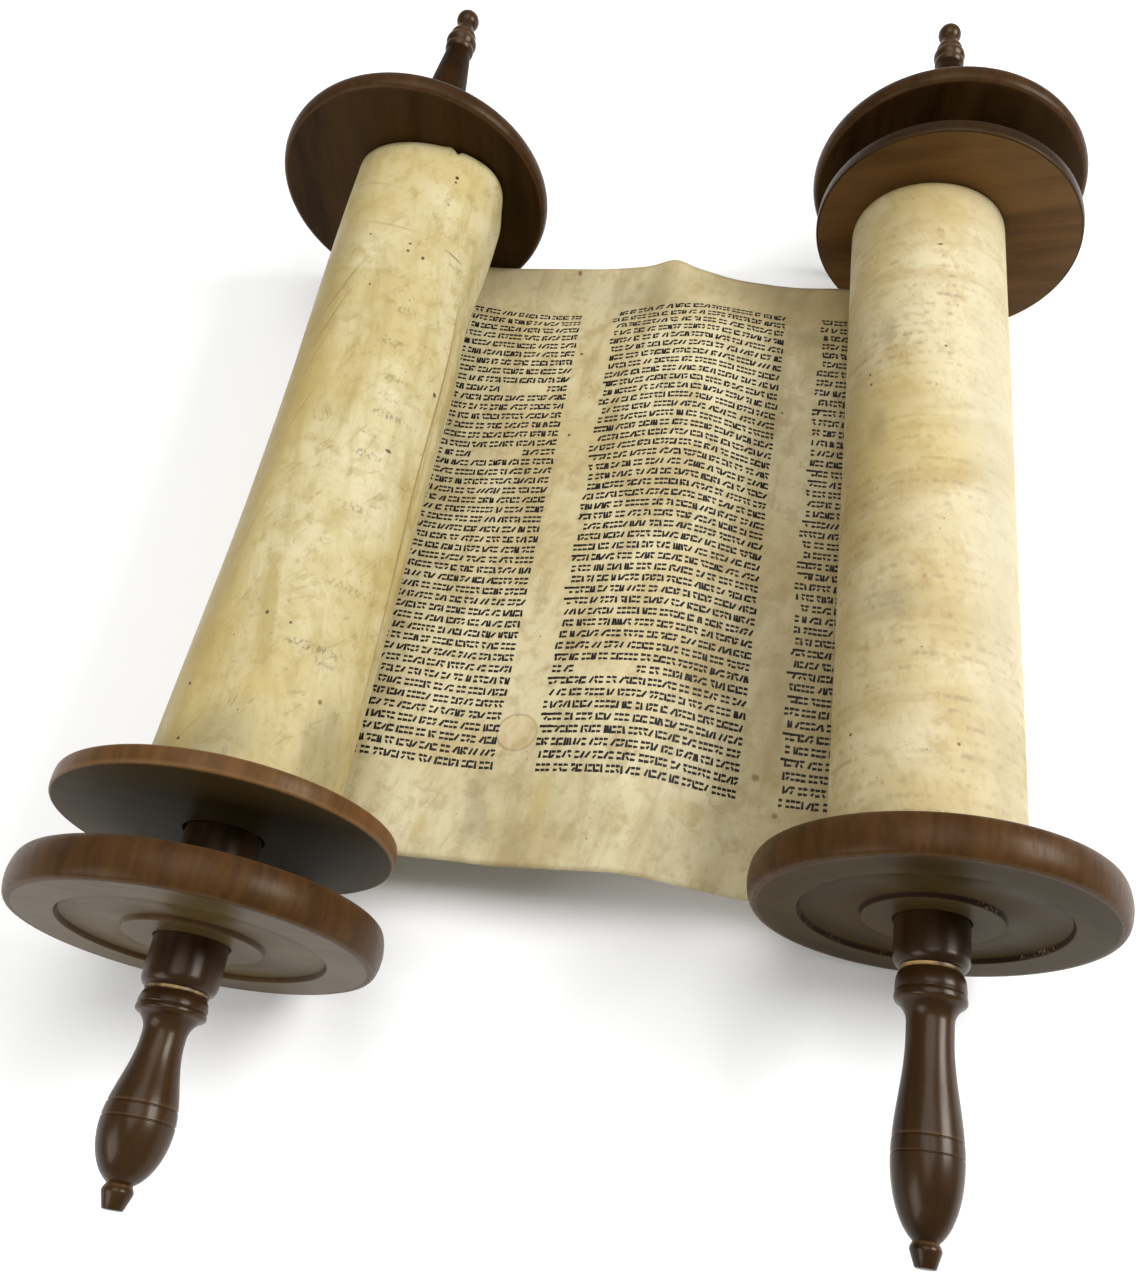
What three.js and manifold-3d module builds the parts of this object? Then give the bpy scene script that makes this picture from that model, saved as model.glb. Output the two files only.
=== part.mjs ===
// An open scroll on its two wooden rollers, lying on a table. Millimetres, +Z up.
// X points right and +Y away from the reader, along the rollers, so the handles are at -Y.
// The written side of the sheet faces up between the rolls, and both rolls show their blank back.

import * as THREE from "three";
import { mergeVertices } from "three/addons/utils/BufferGeometryUtils.js";
import Module from "manifold-3d";

const wasm = await Module();
wasm.setup();

// Parchment
const sheetHeight = 452; // between the lower and the upper edge
const sheetThickness = 1.2; // stands for a thinner skin
const sheetFoot = 0.5; // how far above a roll's lowest line the sheet leaves it
const footReach = 13; // how far it runs level from the roll's axis
const leftDip = { share: 0.17, height: 36 }; // the sheet's waves: the share of the way from the
const ridge = { share: 0.563, height: 57 }; // left axis to the right one, and how high the
const rightDip = { share: 0.803, height: 40 }; // underside lies over the table there
const leftRollWidth = 98; // the left roll is loose and a little flattened
const leftRollHeight = 93;
const rightRollWidth = 97;
const rightRollHeight = 97;
const rollShiftLow = 4; // each roll sits towards the other one, less so at the handles
const rollShiftHigh = 12.5;

// Rollers
const rollerSpacing = 355; // between the two axes, at the handle end
const rollerToe = THREE.MathUtils.degToRad(0.42); // each roller leans outwards as it goes away
const rollerStagger = 66; // the right roller lies this much further away
const poleRadius = 19.5;
const hubRadius = 18.4; // where the pole passes the fixed discs

// Fixed discs
const rimRadius = 91.5;
const faceRadius = 86.5; // where the flat face ends and the rounded rim starts
const rimRounding = 5; // how far the rounding runs across the rim, from each face
const lowerDiscThickness = 21;
const upperDiscThickness = 14;
const recessRadius = 65.8;
const recessDepth = 3;
const bossRadius = 34.5;
const recessDraft = 1.1; // the recess is this much narrower at its floor, on each side

// Loose discs, one a roller, free to slide along the pole
const looseDiscRadius = 87;
const looseDiscThickness = 10;
const looseDiscEdge = 1.6; // rounding of its edges
const looseTravel = 34;
const looseYaw = THREE.MathUtils.degToRad(3.5); // the right one stands askew on its pole
const loosePitch = THREE.MathUtils.degToRad(1.0);

// Clearances
const touchGap = 0.35; // between pieces that touch
const looseFit = 1.1; // between a loose disc's bore and the pole
const rollEndGap = 0.8; // between a roll's end and the disc beside it
const rollSlack = 4.5; // between the left roll and the upper disc

// Facets
const poleSides = 24;
const discSides = 40;
const rollSides = 30;
const sheetSteps = 22;

// The two handles, measured outwards from the fixed disc's face
const handleHub = { length: 18, round: 5.5, grooveRadius: 15.3, grooveWidth: 1.6 };
const knob = { radius: 7.1, neckRadius: 5.9, length: 10.8 };
const leftHandle = {
  beadRadius: 16.8,
  beadEnd: 35.5,
  neckRadius: 10.3,
  neckAt: 47,
  bulbRadius: 16.9,
  bulbAt: 84,
  tailLength: 26.5,
};
const rightHandle = {
  beadRadius: 17.1,
  beadEnd: 41,
  neckRadius: 11.2,
  neckAt: 57,
  bulbRadius: 16.5,
  bulbAt: 110,
  tailLength: 36,
};

// The two upper ends, measured outwards from the upper disc's face
const leftTaperLength = 146;
const rightTaperLength = 124;
const taperTopRadius = 9;
const taperPower = 1.8; // how late the taper narrows
const ringBeads = [
  { radius: 10.6, length: 6.5 },
  { radius: 11.3, length: 9 },
  { radius: 9.6, length: 6 },
];
const ringFootRadius = 8.2;
const finialNeck = { radius: 6.4, length: 10.5 };
const ballRadius = 8.4;

// Worked out from the sizes above
const facetShare = Math.cos(Math.PI / discSides);
const axisHeight = rimRadius * facetShare;
const boreRadius = (hubRadius + touchGap) / facetShare;
const looseBoreRadius = (poleRadius + looseFit) / facetShare;
const rollBoreRadius = (poleRadius + touchGap) / Math.cos(Math.PI / poleSides);
const leftRollLow = lowerDiscThickness + looseTravel + looseDiscThickness + rollEndGap;
const rightRollLow = lowerDiscThickness + rollEndGap;
const looseLean = Math.hypot(Math.sin(looseYaw), Math.sin(loosePitch));
const rightLooseAt = rightRollLow + sheetHeight + rollEndGap + (looseLean * rightRollWidth) / 2;
const upperDiscAt = leftRollLow + sheetHeight + rollSlack;

const rolls = {
  [-1]: { width: leftRollWidth, height: leftRollHeight, low: leftRollLow },
  1: { width: rightRollWidth, height: rightRollHeight, low: rightRollLow },
};

const wood = new THREE.MeshStandardMaterial({ color: 0x6b4a30, roughness: 0.5, metalness: 0 });
const darkWood = new THREE.MeshStandardMaterial({ color: 0x2a1a12, roughness: 0.3, metalness: 0 });
const skin = new THREE.MeshStandardMaterial({ color: 0xd8c79c, roughness: 0.7, metalness: 0 });

const smooth = (t) => t * t * (3 - 2 * t);
const mix = (a, b, t) => a + (b - a) * t;

// Steps a curve from t = 0 to t = 1 and returns its points, without the first one if asked.
function curve(steps, at, skipFirst = false) {
  const points = [];
  for (let i = skipFirst ? 1 : 0; i <= steps; i += 1) {
    const [radius, along] = at(i / steps);
    points.push(new THREE.Vector2(radius, along));
  }
  return points;
}

function lathe(points, sides) {
  // A facet, not an edge, faces straight down.
  return new THREE.LatheGeometry(points, sides, Math.PI / sides);
}

// From the knob's end to the disc, with y growing towards the disc.
function handleProfile(handle) {
  const tail = handle.tailLength * Math.sqrt(1 - (knob.neckRadius / handle.bulbRadius) ** 2);
  const knobAt = handle.bulbAt + tail;
  const beadStart = handleHub.length + handleHub.round + handleHub.grooveWidth;
  const beadFoot = handle.neckRadius + 1.3;
  return [
    ...curve(4, (t) => {
      const swell = Math.sin(Math.PI * mix(0, 0.68, t));
      const settle = mix(0, knob.neckRadius - knob.radius * Math.sin(Math.PI * 0.68), t ** 3);
      return [knob.radius * swell + settle, -(knobAt + knob.length * (1 - t))];
    }),
    ...curve(5, (t) => {
      const out = tail * Math.cos((Math.PI / 2) * t);
      return [handle.bulbRadius * Math.sqrt(1 - (out / handle.tailLength) ** 2), -(handle.bulbAt + out)];
    }, true),
    ...curve(4, (t) => [
      mix(handle.bulbRadius, handle.neckRadius, smooth(t)),
      -mix(handle.bulbAt, handle.neckAt, t),
    ], true),
    new THREE.Vector2(beadFoot, -handle.beadEnd),
    ...curve(4, (t) => [
      mix(beadFoot, handleHub.grooveRadius, t)
        + (handle.beadRadius - mix(beadFoot, handleHub.grooveRadius, t)) * Math.sin(Math.PI * t) ** 0.6,
      -mix(handle.beadEnd, beadStart, t),
    ], true),
    ...curve(2, (t) => [
      mix(handleHub.grooveRadius, hubRadius, Math.sin((Math.PI / 2) * t)),
      -(handleHub.length + handleHub.round * Math.cos((Math.PI / 2) * t)),
    ]),
  ];
}

// From the upper disc's face to the top of the ball.
function finialProfile(taperLength) {
  const points = curve(3, (t) => [
    mix(hubRadius, taperTopRadius, t ** taperPower),
    taperLength * t,
  ]);
  let along = taperLength;
  for (const ring of ringBeads) {
    const start = along;
    points.push(...curve(2, (t) => [
      mix(ringFootRadius, ring.radius, Math.sin(Math.PI * mix(0.12, 0.88, t))),
      start + ring.length * mix(0.06, 1, t),
    ]));
    along += ring.length;
  }
  points.push(new THREE.Vector2(finialNeck.radius, along + finialNeck.length / 2));
  const meet = Math.asin(finialNeck.radius / ballRadius) * 0.8;
  const centre = along + finialNeck.length + ballRadius * Math.cos(meet);
  points.push(...curve(5, (t) => {
    const angle = mix(Math.PI - meet, 0, t);
    return [Math.abs(ballRadius * Math.sin(angle)) * (t < 1), centre + ballRadius * Math.cos(angle)];
  }));
  return points;
}

// One turned piece: handle, shaft with a shoulder inside each fixed disc, tapered upper end.
function poleGeometry(handle, taperLength) {
  const shaftStart = lowerDiscThickness + touchGap;
  const shaftEnd = upperDiscAt - touchGap;
  const upperFace = upperDiscAt + upperDiscThickness;
  const finial = finialProfile(taperLength);
  finial.forEach((point) => {
    point.y += upperFace;
  });
  return lathe([
    ...handleProfile(handle),
    new THREE.Vector2(hubRadius, shaftStart),
    new THREE.Vector2(poleRadius, shaftStart),
    new THREE.Vector2(poleRadius, shaftEnd),
    new THREE.Vector2(hubRadius, shaftEnd),
    ...finial,
  ], poleSides);
}

// The outward face is at y = 0, with a ring-shaped recess round a boss, and the flat back at +y.
function fixedDiscGeometry(thickness) {
  const rim = (t) => [
    faceRadius + (rimRadius - faceRadius) * Math.sin((Math.PI / 2) * t),
    rimRounding * (1 - Math.cos((Math.PI / 2) * t)),
  ];
  return lathe([
    new THREE.Vector2(boreRadius, 0),
    new THREE.Vector2(bossRadius, 0),
    new THREE.Vector2(bossRadius + recessDraft, recessDepth),
    new THREE.Vector2(recessRadius - recessDraft, recessDepth),
    new THREE.Vector2(recessRadius, 0),
    ...curve(2, (t) => rim(t)),
    ...curve(2, (t) => {
      const [radius, along] = rim(1 - t);
      return [radius, thickness - along];
    }),
    new THREE.Vector2(boreRadius, thickness),
    new THREE.Vector2(boreRadius, 0),
  ], discSides);
}

// Its lower face is at y = 0.
function looseDiscGeometry() {
  return lathe([
    new THREE.Vector2(looseBoreRadius, 0),
    new THREE.Vector2(looseDiscRadius - looseDiscEdge, 0),
    new THREE.Vector2(looseDiscRadius, looseDiscEdge),
    new THREE.Vector2(looseDiscRadius, looseDiscThickness - looseDiscEdge),
    new THREE.Vector2(looseDiscRadius - looseDiscEdge, looseDiscThickness),
    new THREE.Vector2(looseBoreRadius, looseDiscThickness),
    new THREE.Vector2(looseBoreRadius, 0),
  ], discSides);
}

// One wound roll, with the pole's bore. It sits a little towards the other roll, more so at its
// far end, and its ends stay square to the pole.
function rollGeometry(side) {
  const roll = rolls[side];
  const ring = (sides, start, radiusX, radiusZ) => Array.from({ length: sides }, (_, i) => {
    const angle = 2 * Math.PI * ((i + start) / sides);
    return new THREE.Vector2(radiusX * Math.cos(angle), radiusZ * Math.sin(angle));
  });
  const shape = new THREE.Shape(ring(rollSides, 0.5, roll.width / 2, roll.height / 2));
  shape.holes.push(new THREE.Path(ring(poleSides, 0.5, rollBoreRadius, rollBoreRadius)));
  const geometry = new THREE.ExtrudeGeometry(shape, { depth: 1, bevelEnabled: false });
  const position = geometry.attributes.position;
  for (let i = 0; i < position.count; i += 1) {
    const x = position.getX(i);
    const z = position.getY(i);
    const share = 1 - position.getZ(i);
    const inBore = Math.hypot(x, z) < rollBoreRadius + 1;
    const shift = inBore ? 0 : -side * mix(rollShiftLow, rollShiftHigh, share);
    const point = onRoller(side, x + shift, roll.low + sheetHeight * share);
    position.setXYZ(i, point.x, point.y, axisHeight + z);
  }
  return geometry;
}

// The sheet's underside over the table, at one distance from the left axis.
function sheetLow(across) {
  const foot = (side) => axisHeight - rolls[side].height / 2 + sheetFoot;
  const waves = [
    { at: footReach, height: foot(-1) },
    ...[leftDip, ridge, rightDip].map(({ share, height }) => ({ at: share * rollerSpacing, height })),
    { at: rollerSpacing - footReach, height: foot(1) },
  ];
  const within = THREE.MathUtils.clamp(across, footReach, rollerSpacing - footReach);
  const next = waves.findIndex((wave, i) => i > 0 && within <= wave.at);
  const [from, to] = [waves[next - 1], waves[next]];
  return mix(from.height, to.height, smooth((within - from.at) / (to.at - from.at)));
}

// The open stretch, from inside the foot of one roll to inside the foot of the other. Beside the
// discs it is square to that roller, and in between it is drawn from one to the other.
function openSheetGeometry() {
  const vertices = [];
  const triangles = [];
  const reach = rollerSpacing / 2;
  const openTo = reach - rimRadius;
  for (let i = 0; i <= sheetSteps; i += 1) {
    const x = mix(-reach, reach, mix(0.03, 0.97, i / sheetSteps));
    const side = smooth(THREE.MathUtils.clamp((x + openTo) / (2 * openTo), 0, 1));
    const low = sheetLow(x + reach);
    for (const [share, z] of [[0, low], [1, low], [1, low + sheetThickness], [0, low + sheetThickness]]) {
      const shift = mix(rollShiftLow, rollShiftHigh, share);
      const onLeft = onRoller(-1, x + reach + shift, rolls[-1].low + sheetHeight * share);
      const onRight = onRoller(1, x - reach - shift, rolls[1].low + sheetHeight * share);
      vertices.push(mix(onLeft.x, onRight.x, side), mix(onLeft.y, onRight.y, side), z);
    }
    for (let edge = 0; edge < 4 && i > 0; edge += 1) {
      const [from, to] = [edge, (edge + 1) % 4];
      const [here, back] = [4 * i, 4 * (i - 1)];
      triangles.push(back + from, here + to, here + from, back + from, back + to, here + to);
    }
  }
  const last = 4 * sheetSteps;
  triangles.push(0, 2, 1, 0, 3, 2, last, last + 1, last + 2, last, last + 2, last + 3);
  const geometry = new THREE.BufferGeometry();
  geometry.setAttribute("position", new THREE.Float32BufferAttribute(vertices, 3));
  geometry.setIndex(triangles);
  return geometry;
}

function toSolid(geometry) {
  geometry.deleteAttribute("normal");
  geometry.deleteAttribute("uv");
  const welded = mergeVertices(geometry, 1e-4);
  return new wasm.Manifold(new wasm.Mesh({
    numProp: 3,
    vertProperties: new Float32Array(welded.attributes.position.array),
    triVerts: new Uint32Array(welded.index.array),
  }));
}

// Both rolls and the sheet between them are one skin.
function skinGeometry() {
  const joined = toSolid(rollGeometry(-1)).add(toSolid(openSheetGeometry())).add(toSolid(rollGeometry(1)));
  const mesh = joined.getMesh();
  const geometry = new THREE.BufferGeometry();
  geometry.setAttribute("position", new THREE.Float32BufferAttribute(mesh.vertProperties, 3));
  geometry.setIndex([...mesh.triVerts]);
  geometry.computeVertexNormals();
  return geometry;
}

const rollerX = (side) => (side * rollerSpacing) / 2;
const rollerY = (side) => (side > 0 ? rollerStagger : 0);

// A point beside and along one roller's axis, in the frame of the whole.
function onRoller(side, across, along) {
  const turn = -side * rollerToe;
  return new THREE.Vector2(
    rollerX(side) + across * Math.cos(turn) - along * Math.sin(turn),
    rollerY(side) + across * Math.sin(turn) + along * Math.cos(turn),
  );
}

function addMesh(parent, name, geometry, material, along) {
  const mesh = new THREE.Mesh(geometry, material);
  mesh.name = name;
  mesh.position.y = along;
  parent.add(mesh);
  return mesh;
}

function roller(side, name, handle, taperLength) {
  const group = new THREE.Group();
  group.position.set(rollerX(side), rollerY(side), axisHeight);
  group.rotation.z = -side * rollerToe;
  addMesh(group, `${name}_pole`, poleGeometry(handle, taperLength), darkWood, 0);
  addMesh(group, `${name}_lower_disc`, fixedDiscGeometry(lowerDiscThickness), wood, 0);
  const upper = addMesh(
    group,
    `${name}_upper_disc`,
    fixedDiscGeometry(upperDiscThickness),
    wood,
    upperDiscAt + upperDiscThickness,
  );
  upper.rotation.z = Math.PI;
  return group;
}

const scroll = new THREE.Group();
const left = roller(-1, "left", leftHandle, leftTaperLength);
const right = roller(1, "right", rightHandle, rightTaperLength);
addMesh(left, "left_loose_disc", looseDiscGeometry(), wood, lowerDiscThickness + looseTravel);
const askew = addMesh(right, "right_loose_disc", looseDiscGeometry(), wood, rightLooseAt);
askew.rotation.set(loosePitch, 0, -looseYaw);
scroll.add(left, right);
addMesh(scroll, "parchment", skinGeometry(), skin, 0);

// The origin is under the middle of the whole, on the table.
scroll.updateMatrixWorld(true);
const box = new THREE.Box3().setFromObject(scroll, true);
scroll.position.set(-(box.min.x + box.max.x) / 2, -(box.min.y + box.max.y) / 2, -box.min.z);

export default scroll;
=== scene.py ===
# An open scroll on its two wooden rollers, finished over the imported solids. Metres, +Z up.
# +Y runs along the rollers, away from the handles. The writing faces up between the rolls.

import math
import random

import bpy
import numpy as np
from mathutils import Matrix, Vector


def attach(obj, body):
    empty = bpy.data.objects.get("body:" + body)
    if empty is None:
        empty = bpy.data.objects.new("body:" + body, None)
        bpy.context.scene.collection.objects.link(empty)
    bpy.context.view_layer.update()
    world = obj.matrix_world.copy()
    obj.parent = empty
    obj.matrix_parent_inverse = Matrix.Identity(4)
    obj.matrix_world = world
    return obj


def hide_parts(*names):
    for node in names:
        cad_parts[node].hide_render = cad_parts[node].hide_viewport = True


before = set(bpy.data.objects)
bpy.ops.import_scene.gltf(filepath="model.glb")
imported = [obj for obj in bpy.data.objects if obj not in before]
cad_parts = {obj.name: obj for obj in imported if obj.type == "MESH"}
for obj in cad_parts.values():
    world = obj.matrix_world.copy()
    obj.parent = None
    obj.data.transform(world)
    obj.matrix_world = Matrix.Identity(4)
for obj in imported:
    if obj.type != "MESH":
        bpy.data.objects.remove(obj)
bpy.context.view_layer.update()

MM = 0.001
LEFT, RIGHT = -1, 1

# Where the rollers lie, in millimetres, as in the solids
ROLLER_SPACING = 355
ROLLER_START = {LEFT: (-177.5, -326.75), RIGHT: (177.5, -260.75)}
ROLLER_TOE = math.radians(0.42)
AXIS_HEIGHT = 91.22

# Parchment
SHEET_HEIGHT = 452
SKIN_THICKNESS = 0.7
TURN_STEP = 1.3  # how far one turn lies inside the next
OUTER_TURN = {LEFT: (-122, 270), RIGHT: (-90, 302)}  # degrees about the roller, over its free end
TURN_RADIUS = {LEFT: 48.0, RIGHT: 48.5}  # what a turn's flat length is measured with
TAIL = 8  # flat length from a roller's axis to where its outer turn starts
TURNS_SHOWN = 11
CORE_CLEARANCE = 1.4  # from the outer turn to the turns inside it
CORE_WAIST = 7  # how much slimmer they are between the roll's ends
ROLL_LOW = {LEFT: 65.8, RIGHT: 21.8}
ROLL_HALF_WIDTH = {LEFT: 49.0, RIGHT: 50.0}
ROLL_HALF_HEIGHT = {LEFT: 46.5, RIGHT: 48.5}
ROLL_SHIFT = (4.0, 12.5)  # towards the other roll, at the near end and at the far end
ROLL_REACH = {LEFT: 3.2, RIGHT: 0.0}  # how far the turns are drawn out at the far end
ROLL_SQUARENESS = {LEFT: (2.05, 2.75), RIGHT: (2.0, 2.05)}  # 2 is round, at near and far end

# Height of the sheet's middle line over the table, at distances from the left axis
SHEET_WAVES = [(9, 44.7), (58, 36.0), (200, 57.5), (285, 40.5), (345, 42.7)]
RISE_DELAY = 1.3  # above 1, a slope between two waves starts later

# Soft swells of the sheet: place across, place along, width across, width along, height
SWELLS = [
    (300, 472, 75, 80, 12.0),
    (245, 535, 42, 30, -6.0),
    (95, 532, 42, 24, 7.0),
    (290, 85, 80, 80, -17.0),
    (180, 72, 62, 52, -9.0),
    (52, 140, 50, 90, 8.0),
    (54, 360, 32, 62, -6.0),
    (130, 497, 62, 22, -8.0),
    (200, 380, 42, 95, 5.0),
    (179, 530, 11, 26, 5.5),
    (214, 522, 26, 28, -8.0),
]

# The sheet's lower and upper edge along the rollers, at distances from the left axis
SHEET_EDGES = [(9, 65.8, 517.8), (47, 76.0, 522.0), (300, 86.0, 533.0), (345, 87.8, 539.8)]

# Writing
ROWS = 46
TOP_MARGIN = 39.5
BOTTOM_MARGIN = 58.0
COLUMNS = [(14, 121), (145, 258.5), (282.5, 338)]  # left and right end of each
OPEN_SPACES = [(0, 9, 75, 109), (0, 16, 65, 99.5), (1, 37, 157, 193)]  # column, row, from, to
HEAD, FOOT = 1.65, -1.6  # middle of a stroke at the head and at the foot of a row
STROKE_HEIGHT = 0.16
STROKE_SUNK = 0.02
STROKE_TAPER = 0.35

# Turned wood
POLE_RADIUS = 19.5
HUB_RADIUS = 18.4
RIM_RADIUS = 91.5
FACE_RADIUS = 86.5
LOWER_DISC = 21.0
UPPER_DISC = 14.0
UPPER_DISC_AT = 522.3
RECESS_RADIUS = 65.8
RECESS_DEPTH = 3.0
RECESS_EASE = 1.0  # how far its walls lean
DISC_CLEARANCE = 0.4  # between a fixed disc's hole and the pole
SHOULDER_GAP = 0.35
BOSS_RADIUS = 34.5
LOOSE_RADIUS = 87.0
LOOSE_THICKNESS = 10.0
LOOSE_EDGE = 1.3  # radius of its eased edges
LOOSE_CLEARANCE = 1.15  # between its hole and the pole
LOOSE_AT = {LEFT: 55.0, RIGHT: 477.7}
LOOSE_ASKEW = {LEFT: (0, 0), RIGHT: (-3.5, 1.0)}  # degrees about Z, then about X
HUB_LENGTH = 18.0
HUB_ROUND = 5.5
GROOVE_RADIUS = 15.3
GROOVE_WIDTH = 1.6
HANDLES = {  # radii, and distances from the disc's outward face
    LEFT: dict(bead=16.8, bead_end=36.0, neck=10.3, neck_at=47, bulb=16.9, bulb_at=84, tail=26.5,
               lines=(76.0, 82.5)),
    RIGHT: dict(bead=17.2, bead_end=41.5, neck=11.2, neck_at=57, bulb=16.5, bulb_at=110, tail=36,
                lines=(101.7, 108.8)),
}
KNOB_LENGTH = 10.8
KNOB_NECK = 5.9
KNOB_SHAPE = [(3.9, 1.0), (4.6, 0.975), (4.95, 0.92), (5.9, 0.66), (6.8, 0.42), (7.1, 0.32),
              (7.05, 0.25), (6.7, 0.16), (6.2, 0.08), (5.9, 0.02)]  # radius, share of its length
BEAD_SHAPE = [(1.2, 0.955), (0.45, 0.91), (0.06, 0.86), (0.0, 0.80), (0.10, 0.72), (0.22, 0.66),
              (0.50, 0.62), (0.50, 0.60), (0.24, 0.56), (0.35, 0.42), (0.60, 0.28), (1.1, 0.16),
              (1.9, 0.06), (2.6, 0.01)]  # inset from its full radius, share of its length
TAPER_LENGTH = {LEFT: 146, RIGHT: 124}
TAPER_TOP = 9.0
RING_BEADS = [(10.6, 6.5), (11.3, 9.0), (9.6, 6.0)]  # radius, length
RING_FOOT = 8.2
FINIAL_NECK = (6.4, 10.5)  # radius, length
BALL_RADIUS = 8.4


def mix(a, b, t):
    return a + (b - a) * t


def smooth(t):
    t = np.clip(t, 0, 1)
    return t * t * (3 - 2 * t)


def on_roller(side, across, along):
    """A point beside and along one roller's axis, seen from above, in millimetres."""
    turn = -side * ROLLER_TOE
    x0, y0 = ROLLER_START[side]
    return (x0 + across * math.cos(turn) - along * math.sin(turn),
            y0 + across * math.sin(turn) + along * math.cos(turn))


def roller_matrix(side):
    """From millimetres about a roller's axis, Y along it, to the scene."""
    x0, y0 = ROLLER_START[side]
    place = Matrix.Translation(Vector((x0, y0, AXIS_HEIGHT)) * MM)
    return place @ Matrix.Rotation(-side * ROLLER_TOE, 4, "Z") @ Matrix.Scale(MM, 4)


def new_mesh_object(name, points, faces, materials, face_material=None):
    """A smooth mesh object in the scene, with one material number a face."""
    mesh = bpy.data.meshes.new(name)
    mesh.from_pydata([tuple(p) for p in points], [], [tuple(f) for f in faces])
    for material in materials:
        mesh.materials.append(material)
    if face_material is not None:
        mesh.polygons.foreach_set("material_index", np.asarray(face_material, np.int32))
    mesh.polygons.foreach_set("use_smooth", np.ones(len(mesh.polygons), bool))
    mesh.update()
    obj = bpy.data.objects.new(name, mesh)
    bpy.context.scene.collection.objects.link(obj)
    return obj


# Materials


def wire(tree, kind, inputs=(), **settings):
    """A new node's outputs, with these inputs and settings."""
    node = tree.nodes.new(kind)
    for key, value in settings.items():
        setattr(node, key, value)
    give(tree, node, inputs)
    return node.outputs


def give(tree, node, inputs):
    """Links sockets to a node's inputs, and sets its other inputs to plain values."""
    for key, value in dict(inputs).items():
        if isinstance(value, bpy.types.NodeSocket):
            tree.links.new(value, node.inputs[key])
        else:
            node.inputs[key].default_value = value


class Nodes:
    """Short calls for building one material's nodes."""

    def __init__(self, name):
        self.material = bpy.data.materials.new(name)
        self.material.use_nodes = True
        self.tree = self.material.node_tree

    def add(self, kind, inputs=(), **settings):
        return wire(self.tree, kind, inputs, **settings)

    def shade(self, colour, inputs):
        """Gives the shader its colour and other inputs, and hands back the material."""
        give(self.tree, self.tree.nodes["Principled BSDF"], {"Base Color": colour, **inputs})
        return self.material

    def place(self, scale=(1, 1, 1), turn=(0, 0, 0), source=None, shift=(0, 0, 0)):
        """Coordinates turned, then scaled, then shifted, so that a stretch follows the turn."""
        if source is None:
            source = self.add("ShaderNodeTexCoord")["Object"]
        if any(turn):
            source = self.add("ShaderNodeMapping", {"Vector": source, "Rotation": turn})["Vector"]
        return self.add("ShaderNodeMapping", {"Vector": source, "Location": shift,
                                              "Scale": scale})["Vector"]

    def noise(self, vector, scale, detail=4.0, roughness=0.55, distortion=0.0, output="Fac"):
        return self.add("ShaderNodeTexNoise", {"Vector": vector, "Scale": scale, "Detail": detail,
                                               "Roughness": roughness, "Distortion": distortion})[output]

    def band(self, value, low, high, to_low=0.0, to_high=1.0):
        """value spread from low..high to to_low..to_high, softly and within them."""
        return self.add("ShaderNodeMapRange", {"Value": value, "From Min": low, "From Max": high,
                                               "To Min": to_low, "To Max": to_high},
                        interpolation_type="SMOOTHSTEP")["Result"]

    def math(self, operation, a, b=0.0, c=0.0):
        return self.add("ShaderNodeMath", {0: a, 1: b, 2: c}, operation=operation)["Value"]

    def blend(self, share, a, b):
        a, b = [c if isinstance(c, bpy.types.NodeSocket) else (*c, 1.0) for c in (a, b)]
        return self.add("ShaderNodeMix", {0: share, 6: a, 7: b}, data_type="RGBA")[2]

    def over(self, colour, mask, share, tint):
        """colour with tint laid over it, by a share of the mask."""
        return self.blend(self.math("MULTIPLY", mask, share), colour, tint)

    def attribute(self, name):
        return self.add("ShaderNodeAttribute", attribute_name=name)["Fac"]

    def bump(self, height, distance, strength, **under):
        return self.add("ShaderNodeBump", {"Height": height, "Distance": distance,
                                           "Strength": strength, **under})["Normal"]


def shaded(colours, shade):
    return [tuple(channel * shade for channel in colour) for colour in colours]


def stained_wood(name, dark, mid, light, grain_scale, grain_turn=0.0, roughness=0.4, coat=0.0,
                 worn=(0.30, 0.19, 0.10), seed=0.0, figure=1.0, sheen=0.2, relief=0.6, banding=0.45):
    """Stained and varnished wood: streaks along the grain, broad patches, pores, and paler edges."""
    n = Nodes(name)
    turn = (0, grain_turn, 0)
    streaks = n.noise(n.place(grain_scale, turn, shift=(seed, seed, seed)), 1.0, 6.0, 0.6, 0.4)
    fine = n.noise(n.place([s * 5 for s in grain_scale], turn), 1.0, 3.0, 0.6)
    patches = n.noise(n.place((14, 14, 14), shift=(seed, 0, 0)), 1.0, 3.0, 0.5)
    colour = n.blend(n.band(streaks, 0.5 - 0.17 / figure, 0.5 + 0.17 / figure), dark, mid)
    broad = n.place([s * 0.22 for s in grain_scale], turn, shift=(seed, 0, seed))
    colour = n.over(colour, n.band(n.noise(broad, 1.0, 2.0, 0.4), 0.47, 0.55), banding, light)
    colour = n.over(colour, n.band(patches, 0.45, 0.75), 0.55, light)
    colour = n.over(colour, n.band(fine, 0.52, 0.72), 0.35, dark)
    wear = n.math("MULTIPLY", n.attribute("wear"), n.band(fine, 0.10, 0.60, 0.45, 1.0))
    return n.shade(n.over(colour, wear, 0.60, worn), {
        "Roughness": n.band(fine, 0.3, 0.8, roughness - 0.1 * relief, roughness + 0.2 * relief),
        "Specular IOR Level": sheen, "Specular Tint": (1.0, 0.80, 0.56, 1.0),
        "Coat Weight": coat, "Coat Roughness": 0.22,
        "Normal": n.bump(n.math("ADD", fine, streaks), 0.00012, relief)})


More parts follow.
